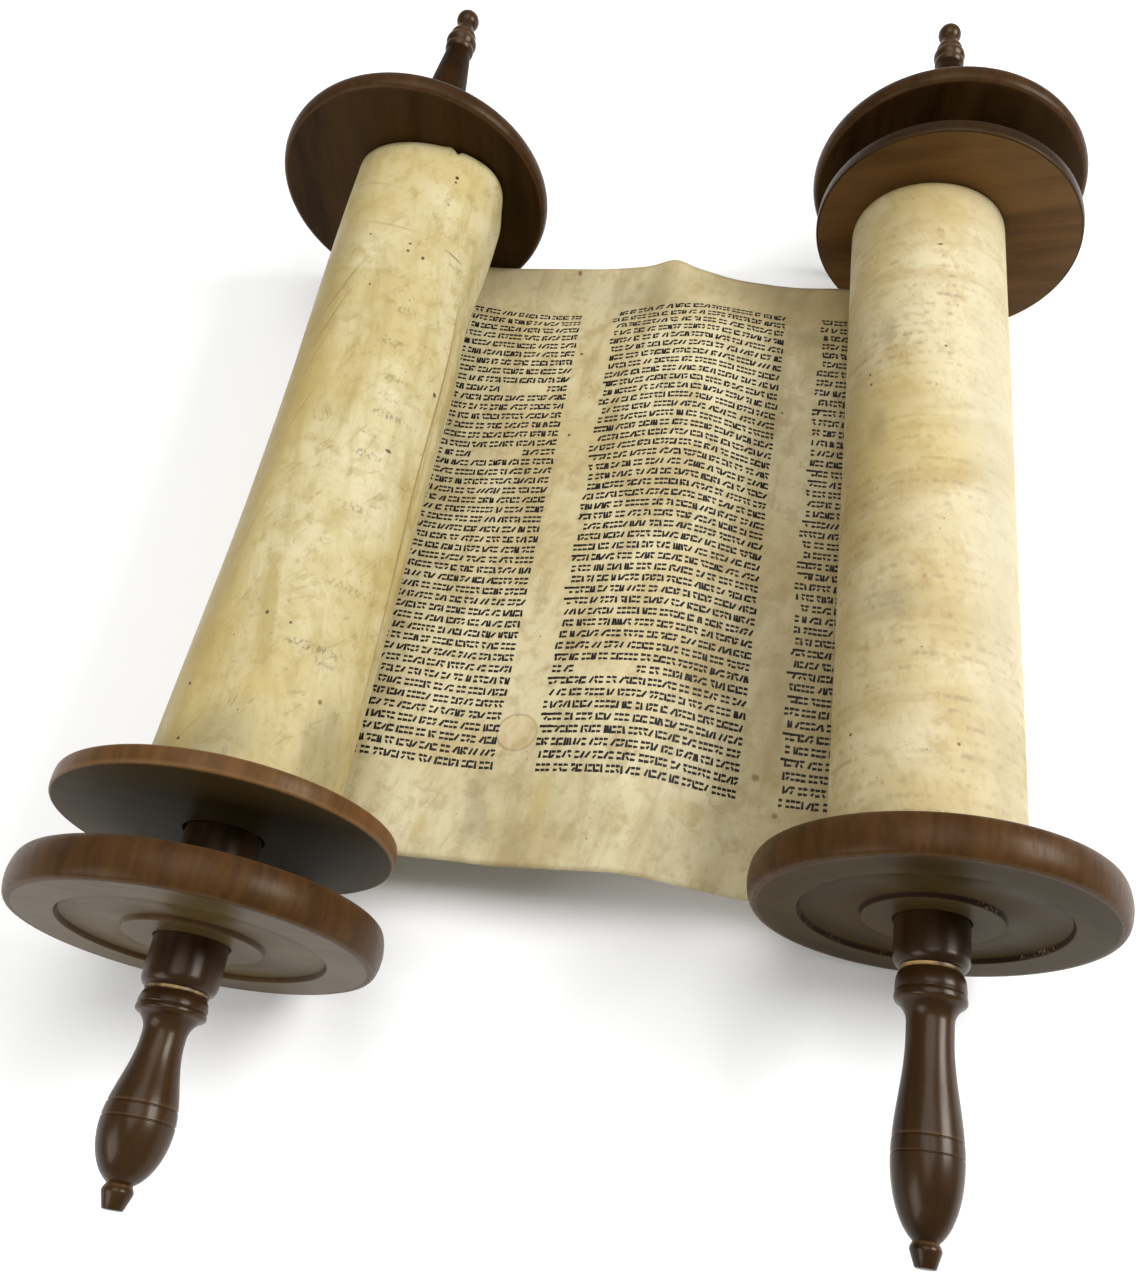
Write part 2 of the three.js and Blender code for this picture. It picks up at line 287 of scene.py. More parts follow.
def cut_wall_wood():
    """The small walls of the recess: dark, with pale chatter marks across the end grain."""
    n = Nodes("cut_wall")
    marks = n.noise(n.place((900, 60, 900)), 1.0, 3.0, 0.7)
    areas = n.noise(n.place((28, 28, 28)), 1.0, 2.0, 0.5)
    share = n.math("MULTIPLY", n.band(marks, 0.50, 0.66), n.band(areas, 0.48, 0.58))
    colour = n.blend(share, (0.020, 0.009, 0.004), (0.22, 0.16, 0.10))
    return n.shade(colour, {"Specular IOR Level": 0.06, "Roughness": 0.6,
                            "Normal": n.bump(marks, 0.0003, 0.6)})


def groove_line_wood():
    """The bare line where the finish has gone, beside the handle's bead."""
    n = Nodes("groove_line")
    breaks = n.noise(n.place((60, 60, 60)), 1.0, 3.0, 0.6)
    colour = n.blend(n.band(breaks, 0.42, 0.6), (0.05, 0.025, 0.008), (0.40, 0.25, 0.09))
    return n.shade(colour, {"Roughness": 0.45})


PLACE_SHIFT, PLACE_SCALE = 0.36, 1.1  # the place map is (u + shift, v) / scale, u and v in metres
ROW_HALF_STEP = 0.00393  # half the step between worn rows on a blank side, in metres
LARGEST_SPECK = 2.5


def place_on_skin(u, v):
    """A place on the flat skin, in millimetres, as the place map holds it."""
    return ((u * MM + PLACE_SHIFT) / PLACE_SCALE, v * MM / PLACE_SCALE)


def oval_on_skin(n, vector, u, v, wide, high, edge):
    """1 inside an oval at millimetres (u, v) of the skin, fading to 0 over its edge, a share of it."""
    moved = n.place((1000 / wide, 1000 / high, 0), source=vector, shift=(-u / wide, -v / high, 0))
    length = n.add("ShaderNodeVectorMath", {0: moved}, operation="LENGTH")["Value"]
    return n.band(length, 1 - edge, 1 + edge, 1.0, 0.0)


def thin_lines(n, vector, scale, width, detail=3.0, distortion=0.6):
    """Fine wandering lines, where a noise crosses its middle value."""
    drift = n.noise(vector, scale, detail, 0.6, distortion)
    return n.band(n.math("ABSOLUTE", n.math("SUBTRACT", drift, 0.5)), 0.0, width, 1.0, 0.0)


def parchment(name, base, deep, pale, streak=(1.0, 0.22, 1), streak_share=0.55, rows=0.0, wrinkles=0.0,
              folds=(), spots=(), ghosts=(), patch=None):
    """Old skin: cream with clouds, streaks, fibres, fine wrinkles, specks, single stains, and spots of
    painted shade and painted sheen.
    """
    n = Nodes(name)
    uv = n.add("ShaderNodeUVMap", uv_map="place")["UV"]
    flat = n.place((PLACE_SCALE,) * 3, source=uv, shift=(-PLACE_SHIFT, 0, 0))
    drift = n.noise(flat, 60, 3, 0.5, output="Color")
    centred = n.place(source=flat, shift=(-0.006, -0.006, 0))
    near = n.add("ShaderNodeVectorMath", {0: drift, 1: (0.012, 0.012, 0), 2: centred},
                 operation="MULTIPLY_ADD")["Vector"]

    clouds = n.noise(flat, 11, 6, 0.62, 0.4)
    hair = n.noise(n.place((1.0, 0.34, 1), turn=(0, 0, 0.35), source=flat), 190, 4, 0.65)
    mottle = n.noise(flat, 75, 5, 0.65, 0.3)
    streaks = n.noise(n.place(streak, turn=(0, 0, 0.12), source=flat), 40, 6, 0.62, 0.5)
    blots = n.noise(n.place(source=flat, shift=(3, 1, 0)), 24, 6, 0.65, 0.5)
    specks = n.noise(flat, 420, 2, 0.5)
    rare = n.noise(n.place(source=flat, shift=(7, 5, 0)), 34, 2, 0.5)

    colour = n.blend(n.band(clouds, 0.38, 0.64), pale, base)
    for pattern, low, high, share in ((streaks, 0.46, 0.68, streak_share), (blots, 0.54, 0.70, 0.50),
                                      (mottle, 0.48, 0.66, 0.42), (hair, 0.50, 0.68, 0.28)):
        colour = n.over(colour, n.band(pattern, low, high), share, deep)
    dots = n.math("MULTIPLY", n.band(specks, 0.70, 0.735), n.band(rare, 0.50, 0.56))
    colour = n.over(colour, dots, 0.85, (0.09, 0.045, 0.018))
    height = n.math("ADD", hair, n.math("MULTIPLY", specks, 0.5))
    if wrinkles:
        slant = n.place((1.0, 0.30, 1), turn=(0, 0, -0.6), source=flat)
        lines = thin_lines(n, slant, 46, 0.020, 4.0, 0.8)
        lines = n.math("MULTIPLY", lines, n.band(mottle, 0.44, 0.60))
        colour = n.over(colour, lines, wrinkles, (0.24, 0.165, 0.065))
        creases = thin_lines(n, n.place((1.0, 0.45, 1), turn=(0, 0, -0.5), source=flat), 17, 0.07, 2.0)
        height = n.math("MULTIPLY_ADD", lines, -0.9, height)
        height = n.math("MULTIPLY_ADD", creases, 1.6, height)
    for (u0, v0), (u1, v1), wide, tint, strength in folds:
        lean = math.atan2(u1 - u0, v1 - v0)
        middle = n.place(source=flat, shift=(-(u0 + u1) * MM / 2, -(v0 + v1) * MM / 2, 0))
        line = oval_on_skin(n, n.place(turn=(0, 0, lean), source=middle), 0, 0,
                            wide, math.hypot(u1 - u0, v1 - v0) / 2, 0.6)
        colour = n.over(colour, line, strength, tint)
        height = n.math("MULTIPLY_ADD", line, -1.5, height)
    if rows:
        row = n.math("PINGPONG", n.add("ShaderNodeSeparateXYZ", {0: flat})["Y"], ROW_HALF_STEP)
        dashes = n.noise(n.place((1.0, 0.30, 1), source=flat), 240, 2, 0.5)
        faint = n.math("MULTIPLY", n.band(row, 0.0008, 0.0018, 1.0, 0.0), n.band(dashes, 0.44, 0.62))
        faint = n.math("MULTIPLY", faint, n.band(blots, 0.40, 0.60))
        colour = n.over(colour, faint, rows, (0.16, 0.12, 0.07))
    for u, v, wide, high, edge, tint, strength in spots:
        source = near if high > LARGEST_SPECK else flat  # only the larger spots, stains, painted shade and painted sheen, have wandering edges
        colour = n.over(colour, oval_on_skin(n, source, u, v, wide, high, edge), strength, tint)
    if ghosts:
        marks = n.band(n.noise(n.place((1.0, 0.55, 1), source=flat), 520, 2, 0.5), 0.49, 0.56)
        for u, v, wide, strength in ghosts:
            word = n.math("MULTIPLY", oval_on_skin(n, flat, u, v, wide, 2.6, 0.3), marks)
            colour = n.over(colour, word, strength, (0.12, 0.10, 0.06))
    if patch:
        u, v, radius = patch
        disc = oval_on_skin(n, flat, u, v, radius, radius, 0.05)
        ring = n.math("SUBTRACT", oval_on_skin(n, flat, u, v, radius + 0.5, radius + 0.5, 0.05),
                      oval_on_skin(n, flat, u, v, radius - 0.7, radius - 0.7, 0.05))
        colour = n.over(colour, disc, 0.25, (0.46, 0.31, 0.13))
        colour = n.over(colour, ring, 0.48, (0.22, 0.14, 0.06))
        height = n.math("MULTIPLY_ADD", disc, 0.8, height)
    lumps = n.bump(n.math("ADD", clouds, streaks), 0.0012, 0.6)
    return n.shade(colour, {"Roughness": n.band(blots, 0.3, 0.7, 0.46, 0.62), "Specular IOR Level": 0.30,
                            "Normal": n.bump(height, 0.00022, 0.7, Normal=lumps)})


def ink():
    """Black ink, brown where it is worn thin."""
    n = Nodes("ink")
    worn = n.noise(n.place(), 90, 4, 0.6)
    colour = n.blend(n.band(worn, 0.66, 0.76), (0.0045, 0.0035, 0.0025), (0.12, 0.055, 0.015))
    return n.shade(colour, {"Roughness": 0.55, "Specular IOR Level": 0.25})


def floor_paint():
    """Pale paper."""
    n = Nodes("floor_paper")
    tone = n.noise(n.place(), 3, 2, 0.5)
    return n.shade(n.blend(tone, (0.93, 0.93, 0.92), (0.95, 0.95, 0.94)), {"Roughness": 0.9})


POLE_GRAIN = (110, 7, 110)
FACE_GRAIN = (75, 75, 7)  # grain runs along Z before it is turned

POLE_WOOD = stained_wood("pole_wood", (0.0125, 0.0052, 0.0013), (0.026, 0.0112, 0.0030),
                         (0.044, 0.020, 0.0060), POLE_GRAIN, roughness=0.34, coat=0.22,
                         worn=(0.10, 0.050, 0.018), sheen=0.12)
# A darker, less glossy copy of the pole wood for the tapered upper ends: the darker colour is painted
# shade.
TAPER_WOOD_PAINTED_SHADE = stained_wood("taper_wood_painted_shade", (0.0110, 0.0042, 0.0008), (0.020, 0.0082, 0.0018),
                          (0.032, 0.014, 0.0036), POLE_GRAIN, roughness=0.50, seed=3.0, sheen=0.05)
RIM_GRAIN = (170, 25, 170)
RIM_COLOURS = (0.026, 0.0100, 0.0026), (0.049, 0.0200, 0.0055), (0.078, 0.035, 0.0110)
RIM_WORN = (0.18, 0.10, 0.040)
FACE_COLOURS = (0.027, 0.0162, 0.0036), (0.043, 0.0268, 0.0068), (0.060, 0.0390, 0.0120)
LOOSE_COLOURS = (0.058, 0.0250, 0.0050), (0.096, 0.043, 0.0090), (0.145, 0.074, 0.022)


def rim_wood(name, shade, seed):
    worn, = shaded([RIM_WORN], min(shade, 1.0))
    return stained_wood(name, *shaded(RIM_COLOURS, shade), RIM_GRAIN, roughness=0.38, coat=0.04,
                        worn=worn, seed=seed, sheen=0.10, banding=0.15)


def face_wood(name, turn, seed, shade=1.0, sheen=0.04):
    return stained_wood(name, *shaded(FACE_COLOURS, shade), FACE_GRAIN, turn, roughness=0.38,
                        worn=(0.13, 0.095, 0.05), seed=seed, figure=0.7, sheen=sheen, relief=0.12)


def loose_wood(name, turn, seed):
    return stained_wood(name, *LOOSE_COLOURS, FACE_GRAIN, turn, roughness=0.44,
                        worn=(0.16, 0.10, 0.05), seed=seed, figure=1.2, sheen=0.13)


RIM_WOOD = rim_wood("rim_wood", 1.0, 2.0)
# A darker copy of the rim wood for the upper discs: painted shade.
UPPER_RIM_PAINTED_SHADE = rim_wood("upper_rim_painted_shade", 0.72, 2.0)
LEFT_LOOSE_RIM = rim_wood("left_loose_rim", 1.7, 12.0)
# A much darker copy of the rim wood for the right loose disc's rim: painted shade.
RIGHT_LOOSE_RIM_PAINTED_SHADE = rim_wood("right_loose_rim_painted_shade", 0.30, 14.0)
INNER_WOOD = stained_wood("inner_wood", (0.015, 0.0058, 0.0010), (0.033, 0.0142, 0.0030),
                          (0.052, 0.025, 0.0062), FACE_GRAIN, roughness=0.45,
                          worn=(0.07, 0.038, 0.015), seed=4.0, sheen=0.12)
CUT_WALL = cut_wall_wood()
GROOVE_LINE = groove_line_wood()


# Turned wood


class Profile:
    """Half of a turned section: radius, distance along the axis, wear, and the piece's finish."""

    def __init__(self):
        self.points, self.wear, self.finish = [], [], []

    def to(self, radius, along, wear=0.0, finish=0):
        self.points.append((radius, along))
        self.wear.append(wear)
        self.finish.append(finish)
        return self

    def curve(self, steps, at, wear=None, finish=0, skip_first=False):
        for i in range(1 if skip_first else 0, steps + 1):
            t = i / steps
            radius, along = at(t)
            self.to(radius, along, wear(t) if wear else 0.0, finish)
        return self


def turned(name, profile, sides, materials, matrix, sharp=40, closed=False):
    """Spins a profile about its axis. finish at a point is the material of the band before it."""
    points, wear = [], []
    rings = []
    for (radius, along), worn in zip(profile.points, profile.wear):
        if radius < 1e-6:
            rings.append([len(points)])
            points.append((0, along, 0))
            wear.append(worn)
            continue
        ring = []
        for i in range(sides):
            angle = 2 * math.pi * i / sides
            ring.append(len(points))
            points.append((radius * math.sin(angle), along, radius * math.cos(angle)))
            wear.append(worn)
        rings.append(ring)
    faces, finish = [], []
    pairs = list(zip(range(len(rings) - 1), range(1, len(rings))))
    if closed:
        pairs.append((len(rings) - 1, 0))
    for a, b in pairs:
        low, high = rings[a], rings[b]
        for i in range(sides):
            j = (i + 1) % sides
            if len(low) == 1:
                faces.append((low[0], high[i], high[j]))
            elif len(high) == 1:
                faces.append((low[i], high[0], low[j]))
            else:
                faces.append((low[i], high[i], high[j], low[j]))
            finish.append(profile.finish[b])
    placed = [matrix @ Vector(p) for p in points]
    obj = new_mesh_object(name, placed, faces, materials, finish)
    attribute = obj.data.attributes.new("wear", "FLOAT", "POINT")
    attribute.data.foreach_set("value", np.asarray(wear, np.float32))
    point_outward(obj)
    obj.data.set_sharp_from_angle(angle=math.radians(sharp))
    return obj


def point_outward(obj):
    """Turns every face if the mesh's volume is negative."""
    mesh = obj.data
    mesh.calc_loop_triangles()
    co = np.empty(len(mesh.vertices) * 3, np.float32)
    mesh.vertices.foreach_get("co", co)
    co = co.reshape(-1, 3)
    tri = np.empty(len(mesh.loop_triangles) * 3, np.int32)
    mesh.loop_triangles.foreach_get("vertices", tri)
    a, b, c = (co[tri.reshape(-1, 3)[:, k]] for k in range(3))
    if (a * np.cross(b, c)).sum() < 0:
        mesh.flip_normals()


def add_handle(profile, handle):
    """From the tip of the knob to the hub, along growing towards the disc."""
    tail = handle["tail"] * math.sqrt(1 - (KNOB_NECK / handle["bulb"]) ** 2)
    knob_at = handle["bulb_at"] + tail
    bead_start = HUB_LENGTH + HUB_ROUND + GROOVE_WIDTH
    profile.to(0, -(knob_at + KNOB_LENGTH))
    for radius, share in KNOB_SHAPE:
        profile.to(radius, -(knob_at + KNOB_LENGTH * share), 0.8 if share < 0.1 else 0.0)
    profile.curve(14, lambda t: (
        handle["bulb"] * math.sqrt(1 - (tail * math.cos(math.pi / 2 * t) / handle["tail"]) ** 2),
        -(handle["bulb_at"] + tail * math.cos(math.pi / 2 * t))), skip_first=True)
    profile.curve(26, lambda t: (mix(handle["bulb"], handle["neck"], smooth(t)),
                                 -mix(handle["bulb_at"], handle["neck_at"], t)), skip_first=True)
    lip = handle["bead"] - 2.4
    cove = min(9.0, handle["neck_at"] - handle["bead_end"])
    profile.curve(9, lambda t: (mix(handle["neck"], lip, t ** 2.6),
                                -(handle["bead_end"] + cove * (1 - t))), skip_first=True)
    for inset, share in BEAD_SHAPE:
        worn = 0.4 if share > 0.9 else 0.0
        profile.to(handle["bead"] - inset, -mix(bead_start, handle["bead_end"], share), worn)
    profile.to(GROOVE_RADIUS, -(bead_start - 0.25), 0, 1)
    profile.to(GROOVE_RADIUS, -(HUB_LENGTH + HUB_ROUND + 0.25), 0, 1)
    profile.curve(8, lambda t: (mix(GROOVE_RADIUS, HUB_RADIUS, math.sin(math.pi / 2 * t)),
                                -(HUB_LENGTH + HUB_ROUND * math.cos(math.pi / 2 * t))))


def incise(profile, lines, depth=0.45, width=0.55):
    """Cuts fine lines round a profile whose distance along only grows."""
    along = [p[1] for p in profile.points]
    for line in lines:
        i = next(k for k in range(len(along)) if along[k] > -line - width)
        j = next(k for k in range(len(along)) if along[k] > -line + width)
        (r0, a0), (r1, a1) = profile.points[i - 1], profile.points[j]
        cut = [(-width, 0), (-0.2 * width, 1), (0.2 * width, 1), (width, 0)]
        new = [(mix(r0, r1, (-line + d - a0) / (a1 - a0)) - depth * deep, -line + d) for d, deep in cut]
        profile.points[i:j] = new
        profile.wear[i:j] = [0, 0, 0, 0.9]
        profile.finish[i:j] = [0] * 4
        along = [p[1] for p in profile.points]


def add_finial(profile, start, taper_length):
    """From the upper disc's face to the top of the ball."""
    profile.curve(18, lambda t: (mix(HUB_RADIUS, TAPER_TOP, t ** 1.8), start + taper_length * t),
                  finish=2, skip_first=True)
    along = start + taper_length
    for radius, length in RING_BEADS:
        profile.curve(9, lambda t: (
            mix(RING_FOOT, radius, math.sin(math.pi * mix(0.12, 0.88, t)) ** 0.8),
            along + length * mix(0.06, 1, t)),
                      wear=lambda t: smooth(1 - abs(t - 0.5) / 0.3))
        along += length
    neck, neck_length = FINIAL_NECK
    meet = math.asin(neck / BALL_RADIUS) * 0.8
    centre = along + neck_length + BALL_RADIUS * math.cos(meet)
    profile.curve(4, lambda t: (mix(RING_FOOT, neck, math.sin(math.pi / 2 * t)),
                                along + neck_length * mix(0.05, 0.6, t)), skip_first=True)

    def ball(t):
        angle = mix(math.pi - meet, 0, t)
        return (0 if t == 1 else BALL_RADIUS * math.sin(angle), centre + BALL_RADIUS * math.cos(angle))

    profile.curve(14, ball, wear=lambda t: 0.4 * smooth(1 - abs(t - 0.5) / 0.3))


def make_pole(side, name):
    """One turned piece: handle, shaft with a shoulder inside each fixed disc, tapered upper end."""
    profile = Profile()
    add_handle(profile, HANDLES[side])
    incise(profile, sorted(HANDLES[side]["lines"], reverse=True))
    low, high = LOWER_DISC + SHOULDER_GAP, UPPER_DISC_AT - SHOULDER_GAP
    profile.to(HUB_RADIUS, low).to(POLE_RADIUS, low).to(POLE_RADIUS, high).to(HUB_RADIUS, high)
    profile.to(HUB_RADIUS, UPPER_DISC_AT + UPPER_DISC)
    add_finial(profile, UPPER_DISC_AT + UPPER_DISC, TAPER_LENGTH[side])
    finishes = [POLE_WOOD, GROOVE_LINE, TAPER_WOOD_PAINTED_SHADE]
    pole = turned(name, profile, 72, finishes, roller_matrix(side), sharp=32)
    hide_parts(name.replace("_turned", ""))
    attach(pole, "scroll")


def fixed_disc_profile(thickness, bore):
    """The outward face at 0, with a ring-shaped recess round a boss, and the flat back at thickness.
    Finishes: 0 outward face, 1 rim, 2 flat back, 3 recess walls."""
    half = thickness / 2
    profile = Profile().to(bore, 0.5).to(bore + 0.5, 0)
    profile.to(BOSS_RADIUS - 0.4, 0, 0.2).to(BOSS_RADIUS, 0.4, 0.5)
    profile.to(BOSS_RADIUS + RECESS_EASE, RECESS_DEPTH - 0.5, 0, 3)
    profile.to(BOSS_RADIUS + RECESS_EASE + 0.6, RECESS_DEPTH)
    profile.to((BOSS_RADIUS + RECESS_RADIUS) / 2, RECESS_DEPTH)
    profile.to(RECESS_RADIUS - RECESS_EASE - 0.6, RECESS_DEPTH)
    profile.to(RECESS_RADIUS - RECESS_EASE, RECESS_DEPTH - 0.5)
    profile.to(RECESS_RADIUS, 0.4, 0.5, 3).to(RECESS_RADIUS + 0.4, 0, 0.2)
    profile.to((RECESS_RADIUS + FACE_RADIUS) / 2, 0).to(FACE_RADIUS - 0.8, 0, 0.1)

    def rim(t):
        angle = math.pi * mix(0.03, 0.97, t)
        bulge = math.sin(angle) ** 0.62
        lean = math.copysign(abs(math.cos(angle)) ** 1.25, math.cos(angle))
        return FACE_RADIUS + (RIM_RADIUS - FACE_RADIUS) * bulge, half - half * lean

    # Paler near both edges of the rim.
    def rim_edge_paling(t):
        return 0.12 + 0.4 * smooth(1 - abs(min(t, 1 - t) - 0.06) / 0.06)

    profile.curve(18, rim, wear=rim_edge_paling, finish=1)
    profile.to(FACE_RADIUS - 0.6, thickness, 0.0, 2).to(60, thickness, 0, 2)
    profile.to(bore + 0.5, thickness, 0, 2).to(bore, thickness - 0.5, 0, 2)
    return profile


def make_fixed_disc(side, name, thickness, along, outward, face, rim, wall):
    """A disc held on its pole, whose recessed face looks along outward, 1 away from the handle."""
    matrix = roller_matrix(side) @ Matrix.Translation((0, along, 0))
    if outward > 0:
        matrix = matrix @ Matrix.Rotation(math.pi, 4, "Z")
    profile = fixed_disc_profile(thickness, HUB_RADIUS + DISC_CLEARANCE)
    disc = turned(name, profile, 144, [face, rim, INNER_WOOD, wall], matrix, closed=True)
    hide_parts(name.replace("_turned", ""))
    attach(disc, "scroll")


def make_loose_disc(side, name, face, rim, back):
    """A thin flat disc with eased edges, free on its pole."""
    bore, edge = POLE_RADIUS + LOOSE_CLEARANCE, LOOSE_EDGE
    profile = Profile().to(bore, 0.6).to(bore + 0.6, 0, 0.6).to(50, 0)
    profile.to(LOOSE_RADIUS - edge, 0, 0.3)
    profile.curve(4, lambda t: (LOOSE_RADIUS - edge * (1 - math.sin(math.pi / 2 * t)),
                                edge * (1 - math.cos(math.pi / 2 * t))),
                  wear=lambda t: 0.9, finish=1, skip_first=True)
    profile.curve(5, lambda t: (LOOSE_RADIUS + 0.25 * math.sin(math.pi * t),
                                mix(edge, LOOSE_THICKNESS - edge, t)),
                  wear=lambda t: 0.35, finish=1, skip_first=True)
    profile.curve(4, lambda t: (LOOSE_RADIUS - edge * (1 - math.cos(math.pi / 2 * t)),
                                LOOSE_THICKNESS - edge * (1 - math.sin(math.pi / 2 * t))),
                  wear=lambda t: 0.9, finish=1, skip_first=True)
    profile.to(50, LOOSE_THICKNESS, 0, 2).to(bore + 0.6, LOOSE_THICKNESS, 0.6, 2)
    profile.to(bore, LOOSE_THICKNESS - 0.6, 0, 2)
    yaw, pitch = [math.radians(angle) for angle in LOOSE_ASKEW[side]]
    tilt = Matrix.Rotation(pitch, 4, "X") @ Matrix.Rotation(yaw, 4, "Z")
    matrix = roller_matrix(side) @ Matrix.Translation((0, LOOSE_AT[side], 0)) @ tilt
    disc = turned(name, profile, 144, [face, rim, back], matrix, closed=True)
    node = name.replace("_turned", "")
    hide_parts(node)
    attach(disc, node)


# Parchment


def squared_ring(side, angle, share):
    """Where a ray at this angle meets the roll's section, from the roll's own middle."""
    low, high = ROLL_SQUARENESS[side]
    power = mix(low, high, smooth((share - 0.35) / 0.6))
    x = np.abs(np.cos(angle)) / ROLL_HALF_WIDTH[side]
    z = np.abs(np.sin(angle)) / ROLL_HALF_HEIGHT[side]
    return (x ** power + z ** power) ** (-1 / power)


def roll_swell(side, angle, share):
    """Where a roll stands off its plain section: fuller at the ends, slack on one flank."""
    if side == RIGHT:
        return 0 * angle * share  # none, in the shape of a grid
    crown = 2.6 * smooth((share - 0.70) / 0.30) * smooth((np.sin(angle) + 0.1) / 0.8)
    slack = -4.0 * np.exp(-((share - 0.80) / 0.10) ** 2) * smooth((np.cos(angle) - 0.3) / 0.6)
    foot = 3.2 * smooth((0.35 - share) / 0.35) * smooth((-np.cos(angle) - 0.2) / 0.7)
    return crown + slack + foot


def crease_depth(side, angle, share):
    """Soft wrinkles of the outer turn, in millimetres outwards."""
    if side == RIGHT:
        return 0.25 * np.sin(3 * angle + 5 * share) * np.sin(2.5 * share * math.pi)
    top = smooth((np.sin(angle) + 0.5) / 0.8)
    off = angle - mix(0.06, 0.44, share)
    long_fold = 0.9 * np.exp(-((off - 0.07) / 0.07) ** 2) - 0.9 * np.exp(-((off + 0.05) / 0.06) ** 2)
    long_fold = long_fold * smooth((share - 0.05) / 0.15) * smooth((0.85 - share) / 0.15)
    slant = 0.55 * np.sin(9 * share + 3.4 * angle) * np.sin(5.2 * share - 1.3 * angle)
    side_folds = 1.0 * np.exp(-((angle - 2.75 - 0.5 * (share - 0.72)) / 0.10) ** 2)
    side_folds = side_folds * smooth((share - 0.45) / 0.1) * smooth((0.92 - share) / 0.1)
    slack = 1.5 * np.exp(-((share - 1.0) / 0.10) ** 2) * np.sin(4 * angle + 1.0) * 0.5
    return top * (long_fold + slant + slack) - side_folds


def end_ripple(side, angle, share):
    """How the roll's edges wander along the pole, in millimetres."""
    near = np.exp(-(share / 0.05) ** 2)
    far = np.exp(-((1 - share) / 0.03) ** 2)
    if side == RIGHT:
        return 0.3 * np.sin(3 * angle) * (far - near)
    nick = -3.2 * np.exp(-((angle - 1.13) / 0.035) ** 2) + 1.3 * np.exp(-((angle - 1.24) / 0.05) ** 2)
    wave = 0.5 * np.sin(5 * angle + 0.6) - 0.3
    return far * (wave + nick) + near * 0.4 * (1 + np.sin(4 * angle))


def on_roll(side, angle, share, inward):
    """Points of the roll's skin, inward millimetres under its outermost turn."""
    radius = squared_ring(side, angle, share) + roll_swell(side, angle, share)
    radius = radius + crease_depth(side, angle, share) - inward
    shift = -side * mix(*ROLL_SHIFT, share)
    reach = ROLL_REACH[side] * smooth((share - 0.85) / 0.15)
    along = ROLL_LOW[side] + SHEET_HEIGHT * share + reach + end_ripple(side, angle, share)
    x, y = on_roller(side, shift + radius * np.cos(angle), along)
    return np.stack([x, y, AXIS_HEIGHT + radius * np.sin(angle)], -1)


def through(stations, at, column, delay=1.0):
    """A smooth line through stations, level at each of them."""
    value = np.full_like(at, stations[0][column], dtype=float)
    for a, b in zip(stations, stations[1:]):
        t = np.clip((at - a[0]) / (b[0] - a[0]), 0, 1)
        step = smooth(t ** delay if b[column] > a[column] else 1 - (1 - t) ** delay)
        value = value + (b[column] - a[column]) * step
    return value


def on_sheet(q, share):
    """Points of the open sheet. q runs from 0 under the left roll to 1 under the right one."""
    shift = mix(*ROLL_SHIFT, share)
    across = mix(shift, ROLLER_SPACING - shift, q)
    low, high = through(SHEET_EDGES, across, 1), through(SHEET_EDGES, across, 2)
    along = mix(low, high, share)
    height = through(SHEET_WAVES, across, 1, RISE_DELAY)
    held = smooth((across - 12) / 36) * smooth((ROLLER_SPACING - 12 - across) / 36)
    for x, s, wide, long, rise in SWELLS:
        height = height + held * rise * np.exp(-((across - x) / wide) ** 2 - ((along - s) / long) ** 2)
    ruffle = np.exp(-((share) / 0.035) ** 2) * 1.1 * np.sin(across / 9.5) * np.sin(across / 31 + 1)
    height = height + held * (ruffle + 0.25 * np.sin(across / 17 + along / 41))
    start = ROLLER_START[LEFT]
    x = start[0] + across - along * ROLLER_TOE * np.clip(1 - 2 * q, -1, 1)
    return np.stack([x, start[1] + along, height], -1), across


def skin_grid(turn_steps=124, sheet_steps=110, height_steps=128):
    """The skin's middle line as a grid of points, and each point's flat place on the skin."""
    share = np.linspace(0, 1, height_steps + 1)[None, :]
    grids, places = [], []
    start, end = OUTER_TURN[LEFT]
    left = np.radians(np.linspace(start, end, turn_steps + 1)[:-1])[:, None]
    wound = np.radians(end) - left
    grids.append(on_roll(LEFT, left, share, TURN_STEP * wound / (2 * math.pi)))
    places.append(TAIL - wound * TURN_RADIUS[LEFT] + 0 * share)
    q = np.linspace(0, 1, sheet_steps + 1)[:, None]
    sheet, across = on_sheet(q, share)
    grids.append(sheet)
    places.append(across)
    start, end = OUTER_TURN[RIGHT]
    right = np.radians(np.linspace(start, end, turn_steps + 1)[1:])[:, None]
    wound = right - np.radians(start)
    grids.append(on_roll(RIGHT, right, share, TURN_STEP * wound / (2 * math.pi)))
    places.append(ROLLER_SPACING - TAIL + wound * TURN_RADIUS[RIGHT] + 0 * share)
    grid = np.concatenate(grids)
    flat = np.stack([np.concatenate(places), np.broadcast_to(share * SHEET_HEIGHT, grid.shape[:2])], -1)
    return grid, flat


def grid_normals(grid):
    across = np.gradient(grid, axis=0)
    along = np.gradient(grid, axis=1)
    normal = np.cross(across, along)
    return normal / np.linalg.norm(normal, axis=-1, keepdims=True)


def add_place_map(mesh, flat):
    """Keeps each corner's flat place on the skin as the map called place."""
    corners = np.empty(len(mesh.loops), np.int32)
    mesh.loops.foreach_get("vertex_index", corners)
    uv = np.stack(place_on_skin(flat[:, 0], flat[:, 1]), -1)[corners]
    mesh.uv_layers.new(name="place").data.foreach_set("uv", uv.astype(np.float32).ravel())


def grid_faces(nu, nv, first=0, flip=False):
    i, j = np.meshgrid(np.arange(nu - 1), np.arange(nv - 1), indexing="ij")
    a = first + i * nv + j
    quads = np.stack([a, a + nv, a + nv + 1, a + 1], -1).reshape(-1, 4)
    return quads[:, ::-1] if flip else quads


